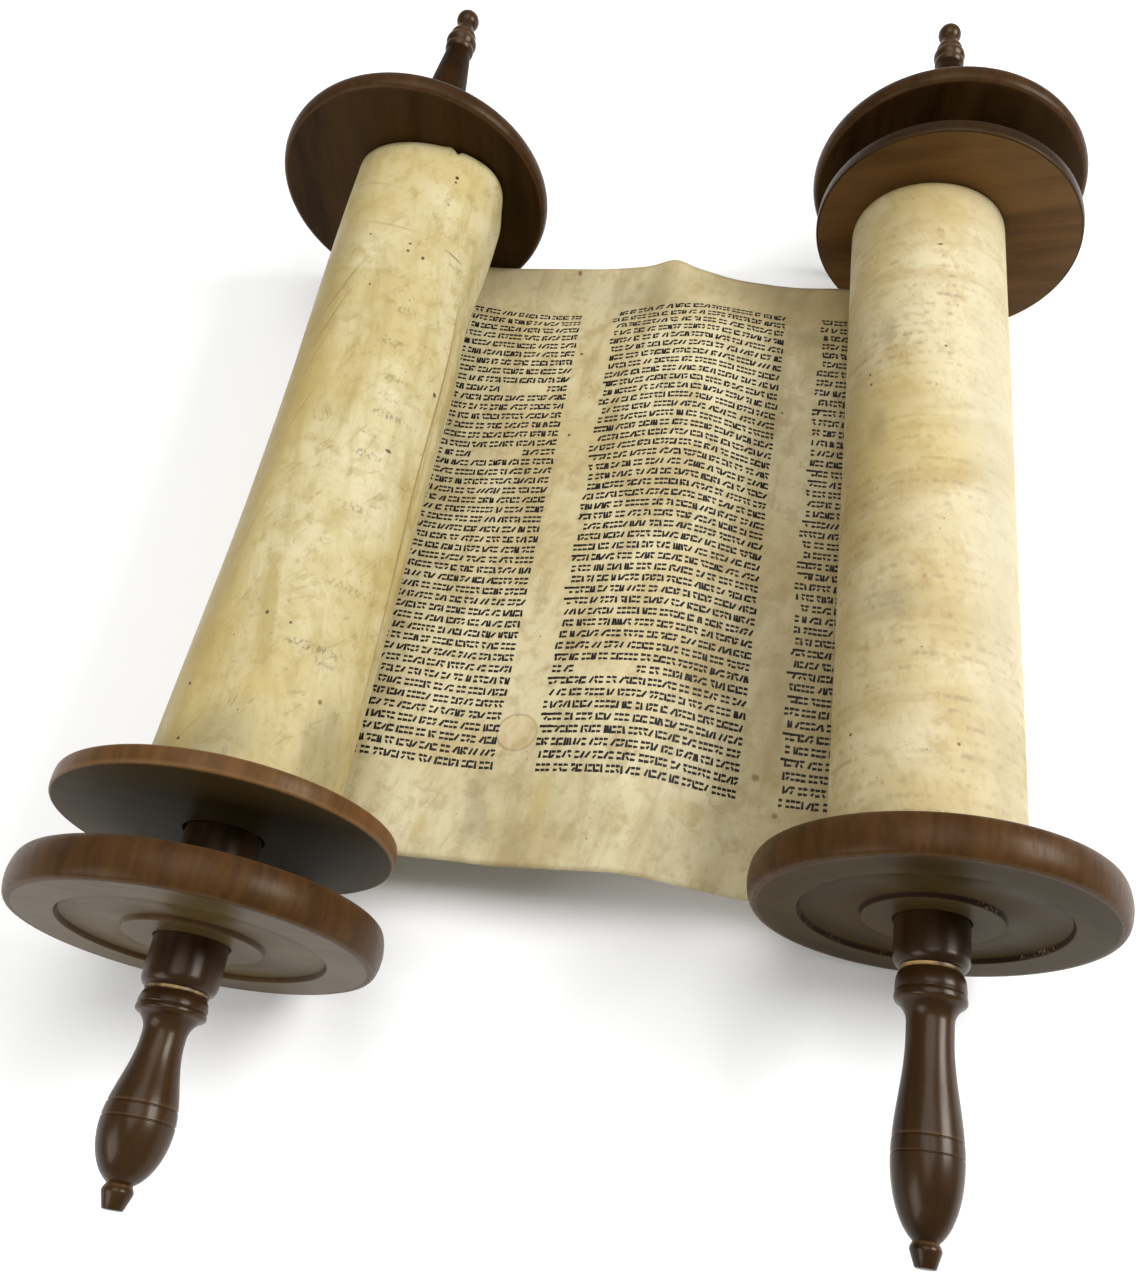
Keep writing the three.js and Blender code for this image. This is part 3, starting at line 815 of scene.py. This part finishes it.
def make_skin(written, blank_left, blank_right):
    """The whole skin that shows: the open sheet and the outer turn of each roll, in one piece."""
    grid, flat = skin_grid()
    nu, nv = grid.shape[:2]
    normal = grid_normals(grid)
    upper = grid + normal * SKIN_THICKNESS / 2
    lower = grid - normal * SKIN_THICKNESS / 2
    points = np.concatenate([upper.reshape(-1, 3), lower.reshape(-1, 3)]) * MM
    faces = [grid_faces(nu, nv), grid_faces(nu, nv, nu * nv, flip=True)]
    loop = [(i, 0) for i in range(nu)] + [(nu - 1, j) for j in range(1, nv)]
    loop += [(i, nv - 1) for i in range(nu - 2, -1, -1)] + [(0, j) for j in range(nv - 2, 0, -1)]
    ids = np.array([i * nv + j for i, j in loop])
    after = np.roll(ids, -1)
    faces.append(np.stack([ids, ids + nu * nv, after + nu * nv, after], -1))
    faces = np.concatenate(faces)
    right_half = flat.reshape(-1, 2)[faces[:, 0] % (nu * nv), 0] > ROLLER_SPACING / 2
    side = np.where(np.arange(len(faces)) < (nu - 1) * (nv - 1), 0, np.where(right_half, 2, 1))
    skin = new_mesh_object("parchment_skin", points, faces, [written, blank_left, blank_right], side)
    add_place_map(skin.data, np.concatenate([flat.reshape(-1, 2)] * 2))
    point_outward(skin)
    top = new_mesh_object("written_side", upper.reshape(-1, 3) * MM, grid_faces(nu, nv), [])
    add_place_map(top.data, flat.reshape(-1, 2))
    length = np.linalg.norm(np.diff(grid, axis=0), axis=-1).sum(0).mean() * MM
    return skin, top, length


def make_roll_layers(side, name, edge_material):
    """The wound turns inside a roll, which show as a spiral of edges at both ends."""
    per_turn, sides = 4, 108
    bore, steps = POLE_RADIUS + 0.45, TURNS_SHOWN * per_turn
    angle = 2 * math.pi * np.arange(sides)[None, :] / sides
    ring = np.arange(steps + 1)[:, None] / steps
    points = []
    for share, outward, waist in ((0.0, -1, 0), (0.1, 0, CORE_WAIST),
                                  (0.9, 0, CORE_WAIST), (1.0, 1, 0)):
        skin = squared_ring(side, angle, share) + roll_swell(side, angle, share)
        skin = skin + crease_depth(side, angle, share) - TURN_STEP - CORE_CLEARANCE - waist
        shift = -side * mix(*ROLL_SHIFT, share)
        x = mix(bore * np.cos(angle), shift + skin * np.cos(angle), ring)
        z = mix(bore * np.sin(angle), skin * np.sin(angle), ring)
        phase = (ring * TURNS_SHOWN - angle / (2 * math.pi)) % 1
        edge = 0.9 * np.abs(phase - 0.5) + 0.3 * np.sin(3 * angle + 7 * ring)
        reach = ROLL_REACH[side] * (outward > 0)
        along = ROLL_LOW[side] + SHEET_HEIGHT * share + reach - outward * (1.2 + edge) + 0 * x
        px, py = on_roller(side, x, along)
        rows = slice(None) if outward else slice(-1, None)
        points.append(np.stack([px, py, AXIS_HEIGHT + z], -1)[rows].reshape(-1, 3))
    around = np.arange(sides)
    after = np.roll(around, -1)
    count = (steps + 1) * sides
    far = count + 2 * sides
    faces = []
    for i in range(steps):
        near_end = np.stack([i * sides + around, (i + 1) * sides + around,
                             (i + 1) * sides + after, i * sides + after], -1)
        faces += [near_end, near_end[:, ::-1] + far]
    stations = [steps * sides, count, count + sides, far + steps * sides]
    for low, high in zip(stations, stations[1:]):
        faces.append(np.stack([low + around, high + around, high + after, low + after], -1))
    faces.append(np.stack([after, far + after, far + around, around], -1))
    faces = np.concatenate(faces)
    layers = new_mesh_object(name, np.concatenate(points) * MM, faces, [edge_material])
    point_outward(layers)
    layers.data.set_sharp_from_angle(angle=math.radians(35))
    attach(layers, "scroll")


def edges_of_skin():
    """Darkened edges of the wound turns."""
    n = Nodes("turn_edges")
    tone = n.noise(n.place(), 120, 4, 0.6)
    colour = n.blend(n.band(tone, 0.35, 0.65), (0.30, 0.22, 0.11), (0.52, 0.42, 0.24))
    return n.shade(colour, {"Roughness": 0.7})


# Writing


def write_row(rng, left, right, height, gap=None):
    """Strokes of one row, from its right end: place, length, width and turn of each."""
    marks = []
    x = right - rng.uniform(0, 0.8)
    word = rng.randint(3, 6)
    while x > left + rng.uniform(0, 1.6):
        if gap and gap[0] < x < gap[1]:
            x = gap[0]
        kind = rng.random()
        y = height + rng.uniform(-0.12, 0.12)
        wide = rng.uniform(2.1, 2.8)
        if kind < 0.40:  # a broad dash at the head over one at the foot
            for lift in (HEAD, FOOT):
                marks.append((x - wide / 2, y + lift, wide, rng.uniform(1.40, 1.75),
                              rng.uniform(-0.08, 0.1)))
        elif kind < 0.66:  # an upright
            wide = 1.1
            marks.append((x - 0.5, y - 0.1, rng.uniform(4.3, 5.0), rng.uniform(1.25, 1.5),
                          math.pi / 2 + rng.uniform(-0.12, 0.12)))
        elif kind < 0.86:  # a dash at the head over a slanting tick
            marks.append((x - wide / 2, y + HEAD, wide, rng.uniform(1.45, 1.75),
                          rng.uniform(-0.05, 0.08)))
            marks.append((x - wide * rng.uniform(0.3, 0.7), y - 1.05, rng.uniform(2.1, 2.6),
                          rng.uniform(1.2, 1.4), rng.choice((0.95, 2.1))))
        else:  # a slanting stroke
            wide = 2.4
            marks.append((x - 1.1, y, rng.uniform(4.1, 4.7), rng.uniform(1.25, 1.5),
                          rng.uniform(1.0, 1.25)))
        x -= wide + rng.uniform(0.30, 0.55)
        word -= 1
        if word == 0:
            x -= rng.uniform(1.0, 1.7)
            word = rng.randint(2, 6)
    if rng.random() < 0.25:  # rows that fall short end in one long stroke
        marks.append((left + rng.uniform(2.5, 4.0), height + HEAD, rng.uniform(7.0, 11.0), 1.5, 0.0))
    return marks


def lay_out_writing(column, rng):
    """Every stroke of one column, row by row from the top."""
    left, right = COLUMNS[column]
    pitch = (SHEET_HEIGHT - TOP_MARGIN - BOTTOM_MARGIN) / (ROWS - 1)
    marks = []
    for row in range(ROWS):
        gap = next(((a, b) for c, r, a, b in OPEN_SPACES if c == column and r == row), None)
        marks += write_row(rng, left, right, SHEET_HEIGHT - TOP_MARGIN - pitch * row, gap)
    return marks


def stroke_points(name, marks):
    """One point a stroke on the flat page, with the stroke's size and turn."""
    obj = new_mesh_object(name, [(m[0] * MM, m[1] * MM, 0) for m in marks], [], [])
    size = obj.data.attributes.new("size", "FLOAT_VECTOR", "POINT")
    sizes = np.array([(m[2] * MM, m[3] * MM, 1) for m in marks], np.float32)
    size.data.foreach_set("vector", sizes.ravel())
    turn = obj.data.attributes.new("turn", "FLOAT", "POINT")
    turn.data.foreach_set("value", np.array([m[4] for m in marks], np.float32))
    return obj


def writing_tree():
    """Strokes on a flat page, bent onto the skin by its place map."""
    tree = bpy.data.node_groups.new("writing", "GeometryNodeTree")
    face = tree.interface
    face.new_socket("Geometry", in_out="OUTPUT", socket_type="NodeSocketGeometry")
    for name, kind in (("Geometry", "Geometry"), ("Skin", "Object"), ("Stroke height", "Float"),
                       ("Sunk", "Float"), ("Taper", "Float"), ("Ink", "Material"), ("Seed", "Int")):
        face.new_socket(name, in_out="INPUT", socket_type="NodeSocket" + kind)
    given = wire(tree, "NodeGroupInput")

    def calc(operation, a, b, c=0.0):
        return wire(tree, "ShaderNodeMath", {0: a, 1: b, 2: c}, operation=operation)[0]

    def read(name, kind):
        return wire(tree, "GeometryNodeInputNamedAttribute", {"Name": name}, data_type=kind)["Attribute"]

    def split(vector):
        return wire(tree, "ShaderNodeSeparateXYZ", {0: vector})

    def place_now():
        return wire(tree, "GeometryNodeInputPosition")[0]

    bar = wire(tree, "GeometryNodeMeshCube", {"Size": (1, 1, 1), "Vertices X": 4})["Mesh"]
    part = split(place_now())
    narrow = calc("MULTIPLY_ADD", calc("MULTIPLY", part["X"], given["Taper"]), -1.0, 1.0)
    shaped = wire(tree, "ShaderNodeCombineXYZ", {
        "X": part["X"], "Y": calc("MULTIPLY", part["Y"], narrow),
        "Z": calc("MULTIPLY", part["Z"], given["Stroke height"])})
    nib = wire(tree, "GeometryNodeSetPosition", {"Geometry": bar, "Position": shaped[0]})

    jitter = wire(tree, "FunctionNodeRandomValue", {2: -0.05, 3: 0.05, "Seed": given["Seed"]},
                  data_type="FLOAT")[1]
    turn = wire(tree, "ShaderNodeCombineXYZ", {"Z": calc("ADD", read("turn", "FLOAT"), jitter)})
    strokes = wire(tree, "GeometryNodeInstanceOnPoints", {
        "Points": given["Geometry"], "Instance": nib["Geometry"],
        "Rotation": turn[0], "Scale": read("size", "FLOAT_VECTOR")})
    real = wire(tree, "GeometryNodeRealizeInstances", {"Geometry": strokes["Instances"]})

    skin = wire(tree, "GeometryNodeObjectInfo", {"Object": given["Skin"]})
    page = split(place_now())
    across = calc("DIVIDE", calc("ADD", page["X"], PLACE_SHIFT), PLACE_SCALE)
    along = calc("DIVIDE", page["Y"], PLACE_SCALE)
    spot = wire(tree, "ShaderNodeCombineXYZ", {"X": across, "Y": along})
    point, outward = [
        wire(tree, "GeometryNodeSampleUVSurface", {
            "Mesh": skin["Geometry"], "UV Map": read("place", "FLOAT_VECTOR"), "Sample UV": spot[0],
            "Value": wire(tree, kind)[0]}, data_type="FLOAT_VECTOR")["Value"]
        for kind in ("GeometryNodeInputPosition", "GeometryNodeInputNormal")]
    height = calc("SUBTRACT", page["Z"], given["Sunk"])
    lift = wire(tree, "ShaderNodeVectorMath", {0: outward, "Scale": height}, operation="SCALE")
    total = wire(tree, "ShaderNodeVectorMath", {0: point, 1: lift[0]}, operation="ADD")
    bent = wire(tree, "GeometryNodeSetPosition", {"Geometry": real["Geometry"], "Position": total[0]})
    inked = wire(tree, "GeometryNodeSetMaterial", {"Geometry": bent["Geometry"],
                                                   "Material": given["Ink"]})
    wire(tree, "NodeGroupOutput", {"Geometry": inked["Geometry"]})
    return tree


def grown(obj, tree, values, name):
    """Runs a tree on obj with these named inputs and keeps the result as a plain mesh."""
    modifier = obj.modifiers.new("grow", "NODES")
    modifier.node_group = tree
    for item in tree.interface.items_tree:
        if item.in_out == "INPUT" and item.name in values:
            modifier[item.identifier] = values[item.name]
    bpy.context.view_layer.update()
    evaluated = obj.evaluated_get(bpy.context.evaluated_depsgraph_get())
    mesh = bpy.data.meshes.new_from_object(evaluated)
    mesh.name = name
    obj.modifiers.remove(modifier)
    bpy.data.objects.remove(obj)
    made = bpy.data.objects.new(name, mesh)
    bpy.context.scene.collection.objects.link(made)
    return made


def make_writing(top, ink_material):
    """The three columns, each one piece, bent onto the skin's upper side."""
    tree = writing_tree()
    pieces = []
    for column, name in enumerate(("writing_left", "writing_middle", "writing_right")):
        marks = lay_out_writing(column, random.Random(40 + column))
        values = {"Skin": top, "Stroke height": STROKE_HEIGHT * MM, "Sunk": STROKE_SUNK * MM,
                  "Taper": STROKE_TAPER, "Ink": ink_material, "Seed": 7 + column}
        writing = grown(stroke_points(name + "_points", marks), tree, values, name)
        for used in ("size", "turn"):
            if used in writing.data.attributes:
                writing.data.attributes.remove(writing.data.attributes[used])
        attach(writing, "scroll")
        pieces.append(writing)
    return pieces


# Camera, light and floor


LENS = 35.53
CAMERA_AT = (25.49, -469.42, 695.07)
CAMERA_TURNED = (29.6456, -0.4566, 8.7771)  # degrees about X, Y and Z


def make_camera():
    """A pinhole fitted to the discs' edges in the photograph."""
    data = bpy.data.cameras.new("camera")
    data.lens, data.sensor_width = LENS, 36.0
    data.clip_start, data.clip_end = 0.05, 20
    camera = bpy.data.objects.new("camera", data)
    bpy.context.scene.collection.objects.link(camera)
    camera.location = Vector(CAMERA_AT) * MM
    camera.rotation_euler = [math.radians(angle) for angle in CAMERA_TURNED]
    bpy.context.scene.camera = camera


def soft_box(name, place, target, size, watts, colour=(1, 1, 1)):
    data = bpy.data.lights.new(name, "AREA")
    data.shape, data.size, data.energy, data.color = "SQUARE", size, watts, colour
    lamp = bpy.data.objects.new(name, data)
    lamp.location = place
    lamp.rotation_euler = (Vector(target) - Vector(place)).to_track_quat("-Z", "Y").to_euler()
    bpy.context.scene.collection.objects.link(lamp)


def make_studio():
    """A soft key from the right, fill from the front left, a soft box overhead, and a pale floor."""
    soft_box("key_right", (1.5, 0.3, 1.35), (0, 0, 0.05), 0.9, 44)
    soft_box("fill_left", (-1.3, -1.1, 1.1), (0, -0.1, 0.05), 1.0, 14)
    soft_box("overhead", (-0.2, 0.3, 2.0), (0, 0, 0), 1.4, 22)
    world = bpy.data.worlds.new("studio")
    world.use_nodes = True
    world.node_tree.nodes["Background"].inputs["Color"].default_value = (1, 1, 1, 1)
    world.node_tree.nodes["Background"].inputs["Strength"].default_value = 0.34
    bpy.context.scene.world = world
    bpy.context.scene.view_settings.view_transform = "Standard"
    half = 6.0
    corners = [(-half, -half, 0), (half, -half, 0), (half, half, 0), (-half, half, 0)]
    floor = new_mesh_object("floor", corners, [(0, 1, 2, 3)], [floor_paint()])
    floor.location.z = -0.0005


# Soil colour, also laid on as painted shade where the rolls shade the sheet and on the rolls' shaded
# flanks
SOIL_AND_PAINTED_SHADE = (0.22, 0.160, 0.062)
GREY = (0.20, 0.17, 0.09)
OCHRE = (0.41, 0.305, 0.095)
# Paler, greyer tone for the right roll's lit side: painted sheen.
PAINTED_SHEEN = (0.42, 0.385, 0.275)
BROWN_LINE = (0.20, 0.125, 0.045)
SPECK = (0.03, 0.02, 0.01)
DARK_SPECK = (0.02, 0.015, 0.01)
WARM_SPECK = (0.05, 0.03, 0.01)
BROWN_SPECK = (0.06, 0.03, 0.01)

# Stains, specks, painted shade and painted sheen: place across and along the flat skin, half width, half
# height, edge, colour and strength. On the rolls, across goes on round the outer turn: below 0 on the
# left, past 355 on the right.
WRITTEN_SPOTS = [
    # The next two darken the sheet along its upper edge: painted shade.
    (70, 450, 62, 34, 0.7, SOIL_AND_PAINTED_SHADE, 0.52),
    (290, 450, 80, 44, 0.7, SOIL_AND_PAINTED_SHADE, 0.62),
    (165, 425, 26, 20, 0.8, GREY, 0.40),
    # The next two darken the sheet beside the right roll: painted shadow of that roll.
    (308, 330, 40, 110, 0.7, SOIL_AND_PAINTED_SHADE, 0.45),
    (308, 120, 48, 120, 0.7, SOIL_AND_PAINTED_SHADE, 0.52),
    (36, 230, 18, 190, 0.8, SOIL_AND_PAINTED_SHADE, 0.30),
    (165, 22, 55, 30, 0.8, SOIL_AND_PAINTED_SHADE, 0.12),
    (116, 30, 6, 22, 0.8, GREY, 0.40),
    (150, 40, 4, 16, 0.8, OCHRE, 0.45),
    (88, 18, 4, 6, 0.8, OCHRE, 0.5),
    (276, 395, 12, 9, 0.8, GREY, 0.45),
    (230, 42, 10, 5, 0.8, OCHRE, 0.35),
    (268, 70, 2.2, 2.0, 0.5, (0.12, 0.07, 0.03), 0.7),
    (281, 50, 1.6, 1.6, 0.5, (0.10, 0.06, 0.03), 0.7),
    (114, 449, 1.3, 1.8, 0.4, (0.14, 0.04, 0.02), 0.9),
    (126, 372, 1.0, 1.0, 0.4, SPECK, 0.9),
    (128, 300, 0.9, 1.1, 0.4, SPECK, 0.9),
    (262, 330, 1.0, 0.9, 0.4, WARM_SPECK, 0.8),
]
LEFT_ROLL_SPOTS = [
    (-133, 24, 20, 17, 0.6, GREY, 0.42),
    (-194, 26, 16, 28, 0.6, GREY, 0.50),
    (-112, 14, 14, 14, 0.6, SOIL_AND_PAINTED_SHADE, 0.45),
    (-92, 30, 5, 26, 0.8, SOIL_AND_PAINTED_SHADE, 0.50),
    (-130, 394, 20, 26, 0.8, OCHRE, 0.45),
    (-152, 434, 42, 16, 0.8, OCHRE, 0.55),
    (-127, 268, 24, 24, 0.8, OCHRE, 0.32),
    (-205, 230, 9, 150, 0.8, OCHRE, 0.25),
    (-108, 190, 15, 210, 0.8, OCHRE, 0.70),
    (-102, 230, 11, 200, 0.8, SOIL_AND_PAINTED_SHADE, 0.40),
    (-113, 345, 10, 60, 0.8, SOIL_AND_PAINTED_SHADE, 0.35),
    # The next two darken the roll's outer flank: painted shade.
    (-52, 330, 22, 130, 0.8, SOIL_AND_PAINTED_SHADE, 0.42),
    (-46, 110, 18, 120, 0.8, SOIL_AND_PAINTED_SHADE, 0.35),
    (-150, 55, 9, 7, 0.6, OCHRE, 0.35),
    (-168, 429, 1.1, 1.4, 0.4, DARK_SPECK, 0.95),
    (-168, 425, 0.8, 0.8, 0.4, DARK_SPECK, 0.95),
    (-153, 367, 1.0, 0.8, 0.4, SPECK, 0.9),
    (-153, 361, 1.0, 1.0, 0.4, SPECK, 0.9),
    (-163, 358, 1.0, 1.2, 0.4, DARK_SPECK, 0.95),
    (-127, 371, 0.7, 0.7, 0.4, SPECK, 0.9),
    (-136, 330, 0.7, 0.7, 0.4, SPECK, 0.9),
    (-182, 372, 7, 0.6, 0.5, (0.07, 0.045, 0.02), 0.70),
    (-196, 270, 1.4, 1.6, 0.4, DARK_SPECK, 0.9),
    (-177, 214, 1.8, 1.1, 0.4, WARM_SPECK, 0.9),
    (-140, 96, 0.9, 1.2, 0.4, SPECK, 0.9),
    (-154, 92, 0.8, 0.8, 0.4, BROWN_SPECK, 0.9),
    (-181, 55, 1.2, 1.4, 0.4, (0.12, 0.06, 0.02), 0.8),
    (-108, 54, 0.9, 0.9, 0.4, SPECK, 0.9),
    (-85, 58, 0.9, 0.9, 0.4, SPECK, 0.9),
    (-114, 22, 0.9, 0.9, 0.4, SPECK, 0.9),
]
RIGHT_ROLL_SPOTS = [
    (536, 258, 26, 34, 0.8, OCHRE, 0.55),
    (500, 236, 34, 20, 0.8, OCHRE, 0.45),
    (546, 380, 22, 44, 0.8, OCHRE, 0.38),
    (530, 136, 16, 12, 0.8, GREY, 0.36),
    # Painted shade on the roll's flank towards the sheet.
    (560, 250, 14, 190, 0.9, SOIL_AND_PAINTED_SHADE, 0.50),
    (495, 430, 40, 18, 0.9, OCHRE, 0.30),
    (520, 436, 70, 26, 0.9, SOIL_AND_PAINTED_SHADE, 0.32),
    # Painted sheen along the roll's lit side.
    (466, 230, 20, 210, 0.9, PAINTED_SHEEN, 0.60),
    (540, 255, 5, 14, 0.8, GREY, 0.36),
    (535, 330, 5, 12, 0.8, GREY, 0.4),
    (552, 62, 1.0, 0.9, 0.4, BROWN_SPECK, 0.9),
    (495, 53, 0.9, 0.9, 0.4, BROWN_SPECK, 0.8),
    (503, 396, 1.6, 0.7, 0.4, SPECK, 0.9),
    (546, 300, 0.8, 0.8, 0.4, DARK_SPECK, 0.95),
    (545, 292, 1.0, 0.9, 0.4, DARK_SPECK, 0.9),
    (500, 312, 0.8, 0.8, 0.4, SPECK, 0.9),
]
LEFT_ROLL_FOLDS = [  # from, to, half width, colour, strength
    ((-198, 345), (-203, 200), 0.9, BROWN_LINE, 0.80),
    ((-202, 225), (-213, 60), 0.8, BROWN_LINE, 0.80),
    ((-127, 348), (-108, 300), 1.1, BROWN_LINE, 0.50),
    ((-124, 322), (-105, 262), 0.9, BROWN_LINE, 0.50),
    ((-119, 290), (-104, 232), 0.9, BROWN_LINE, 0.45),
    ((-122, 246), (-105, 196), 0.8, BROWN_LINE, 0.35),
    ((-116, 175), (-104, 118), 0.9, BROWN_LINE, 0.35),
    ((-152, 378), (-118, 383), 0.9, BROWN_LINE, 0.35),
    ((-134, 412), (-104, 420), 0.8, BROWN_LINE, 0.30),
]
GHOST_WORDS = [  # worn writing on the left roll: place across, place along, half width, strength
    (-163, 314, 7, 0.35), (-160, 288, 9, 0.35), (-168, 262, 8, 0.40), (-169, 248, 5, 0.30),
    (-172, 236, 11, 0.55), (-166, 206, 9, 0.50), (-166, 170, 10, 0.45), (-177, 122, 13, 0.35),
    (-168, 82, 15, 0.60), (-176, 76, 12, 0.35),
]

WRITTEN = parchment("written_side", (0.45, 0.365, 0.190), (0.29, 0.215, 0.090), (0.55, 0.485, 0.305),
                    spots=WRITTEN_SPOTS, patch=(131, 79.5, 11.5))
BLANK_LEFT = parchment("blank_side_left", (0.43, 0.350, 0.160), (0.30, 0.222, 0.066),
                       (0.52, 0.460, 0.285), streak=(1.0, 0.16, 1), streak_share=0.66,
                       wrinkles=0.40, folds=LEFT_ROLL_FOLDS, spots=LEFT_ROLL_SPOTS, ghosts=GHOST_WORDS)
BLANK_RIGHT = parchment("blank_side_right", (0.45, 0.355, 0.172), (0.32, 0.225, 0.088),
                        (0.54, 0.465, 0.290), streak=(0.20, 1.0, 1), streak_share=0.40, rows=0.42,
                        spots=RIGHT_ROLL_SPOTS)

make_camera()
make_studio()

make_pole(LEFT, "left_pole_turned")
make_pole(RIGHT, "right_pole_turned")
# The left lower disc's face is a lighter copy of the face wood: painted sheen.
make_fixed_disc(LEFT, "left_lower_disc_turned", LOWER_DISC, 0, -1,
                face_wood("left_face_painted_sheen", 1.35, 1.0, 1.7, 0.20), RIM_WOOD, RIM_WOOD)
make_fixed_disc(RIGHT, "right_lower_disc_turned", LOWER_DISC, 0, -1,
                face_wood("right_face", 1.15, 3.0), RIM_WOOD, CUT_WALL)
for side, name in ((LEFT, "left_upper_disc_turned"), (RIGHT, "right_upper_disc_turned")):
    make_fixed_disc(side, name, UPPER_DISC, UPPER_DISC_AT + UPPER_DISC, 1,
                    INNER_WOOD, UPPER_RIM_PAINTED_SHADE, UPPER_RIM_PAINTED_SHADE)
make_loose_disc(LEFT, "left_loose_disc_turned", face_wood("left_loose_face", 1.35, 6.0),
                LEFT_LOOSE_RIM, loose_wood("left_loose_back", 1.2, 7.0))
make_loose_disc(RIGHT, "right_loose_disc_turned", loose_wood("right_loose_face", -1.2, 8.0),
                RIGHT_LOOSE_RIM_PAINTED_SHADE, loose_wood("right_loose_back", -1.2, 9.0))

skin, top, skin_length = make_skin(WRITTEN, BLANK_LEFT, BLANK_RIGHT)
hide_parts("parchment")
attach(skin, "scroll")
turn_edges = edges_of_skin()
make_roll_layers(LEFT, "left_roll_turns", turn_edges)
make_roll_layers(RIGHT, "right_roll_turns", turn_edges)
writing = make_writing(top, ink())
bpy.data.objects.remove(top)

bpy.context.view_layer.update()
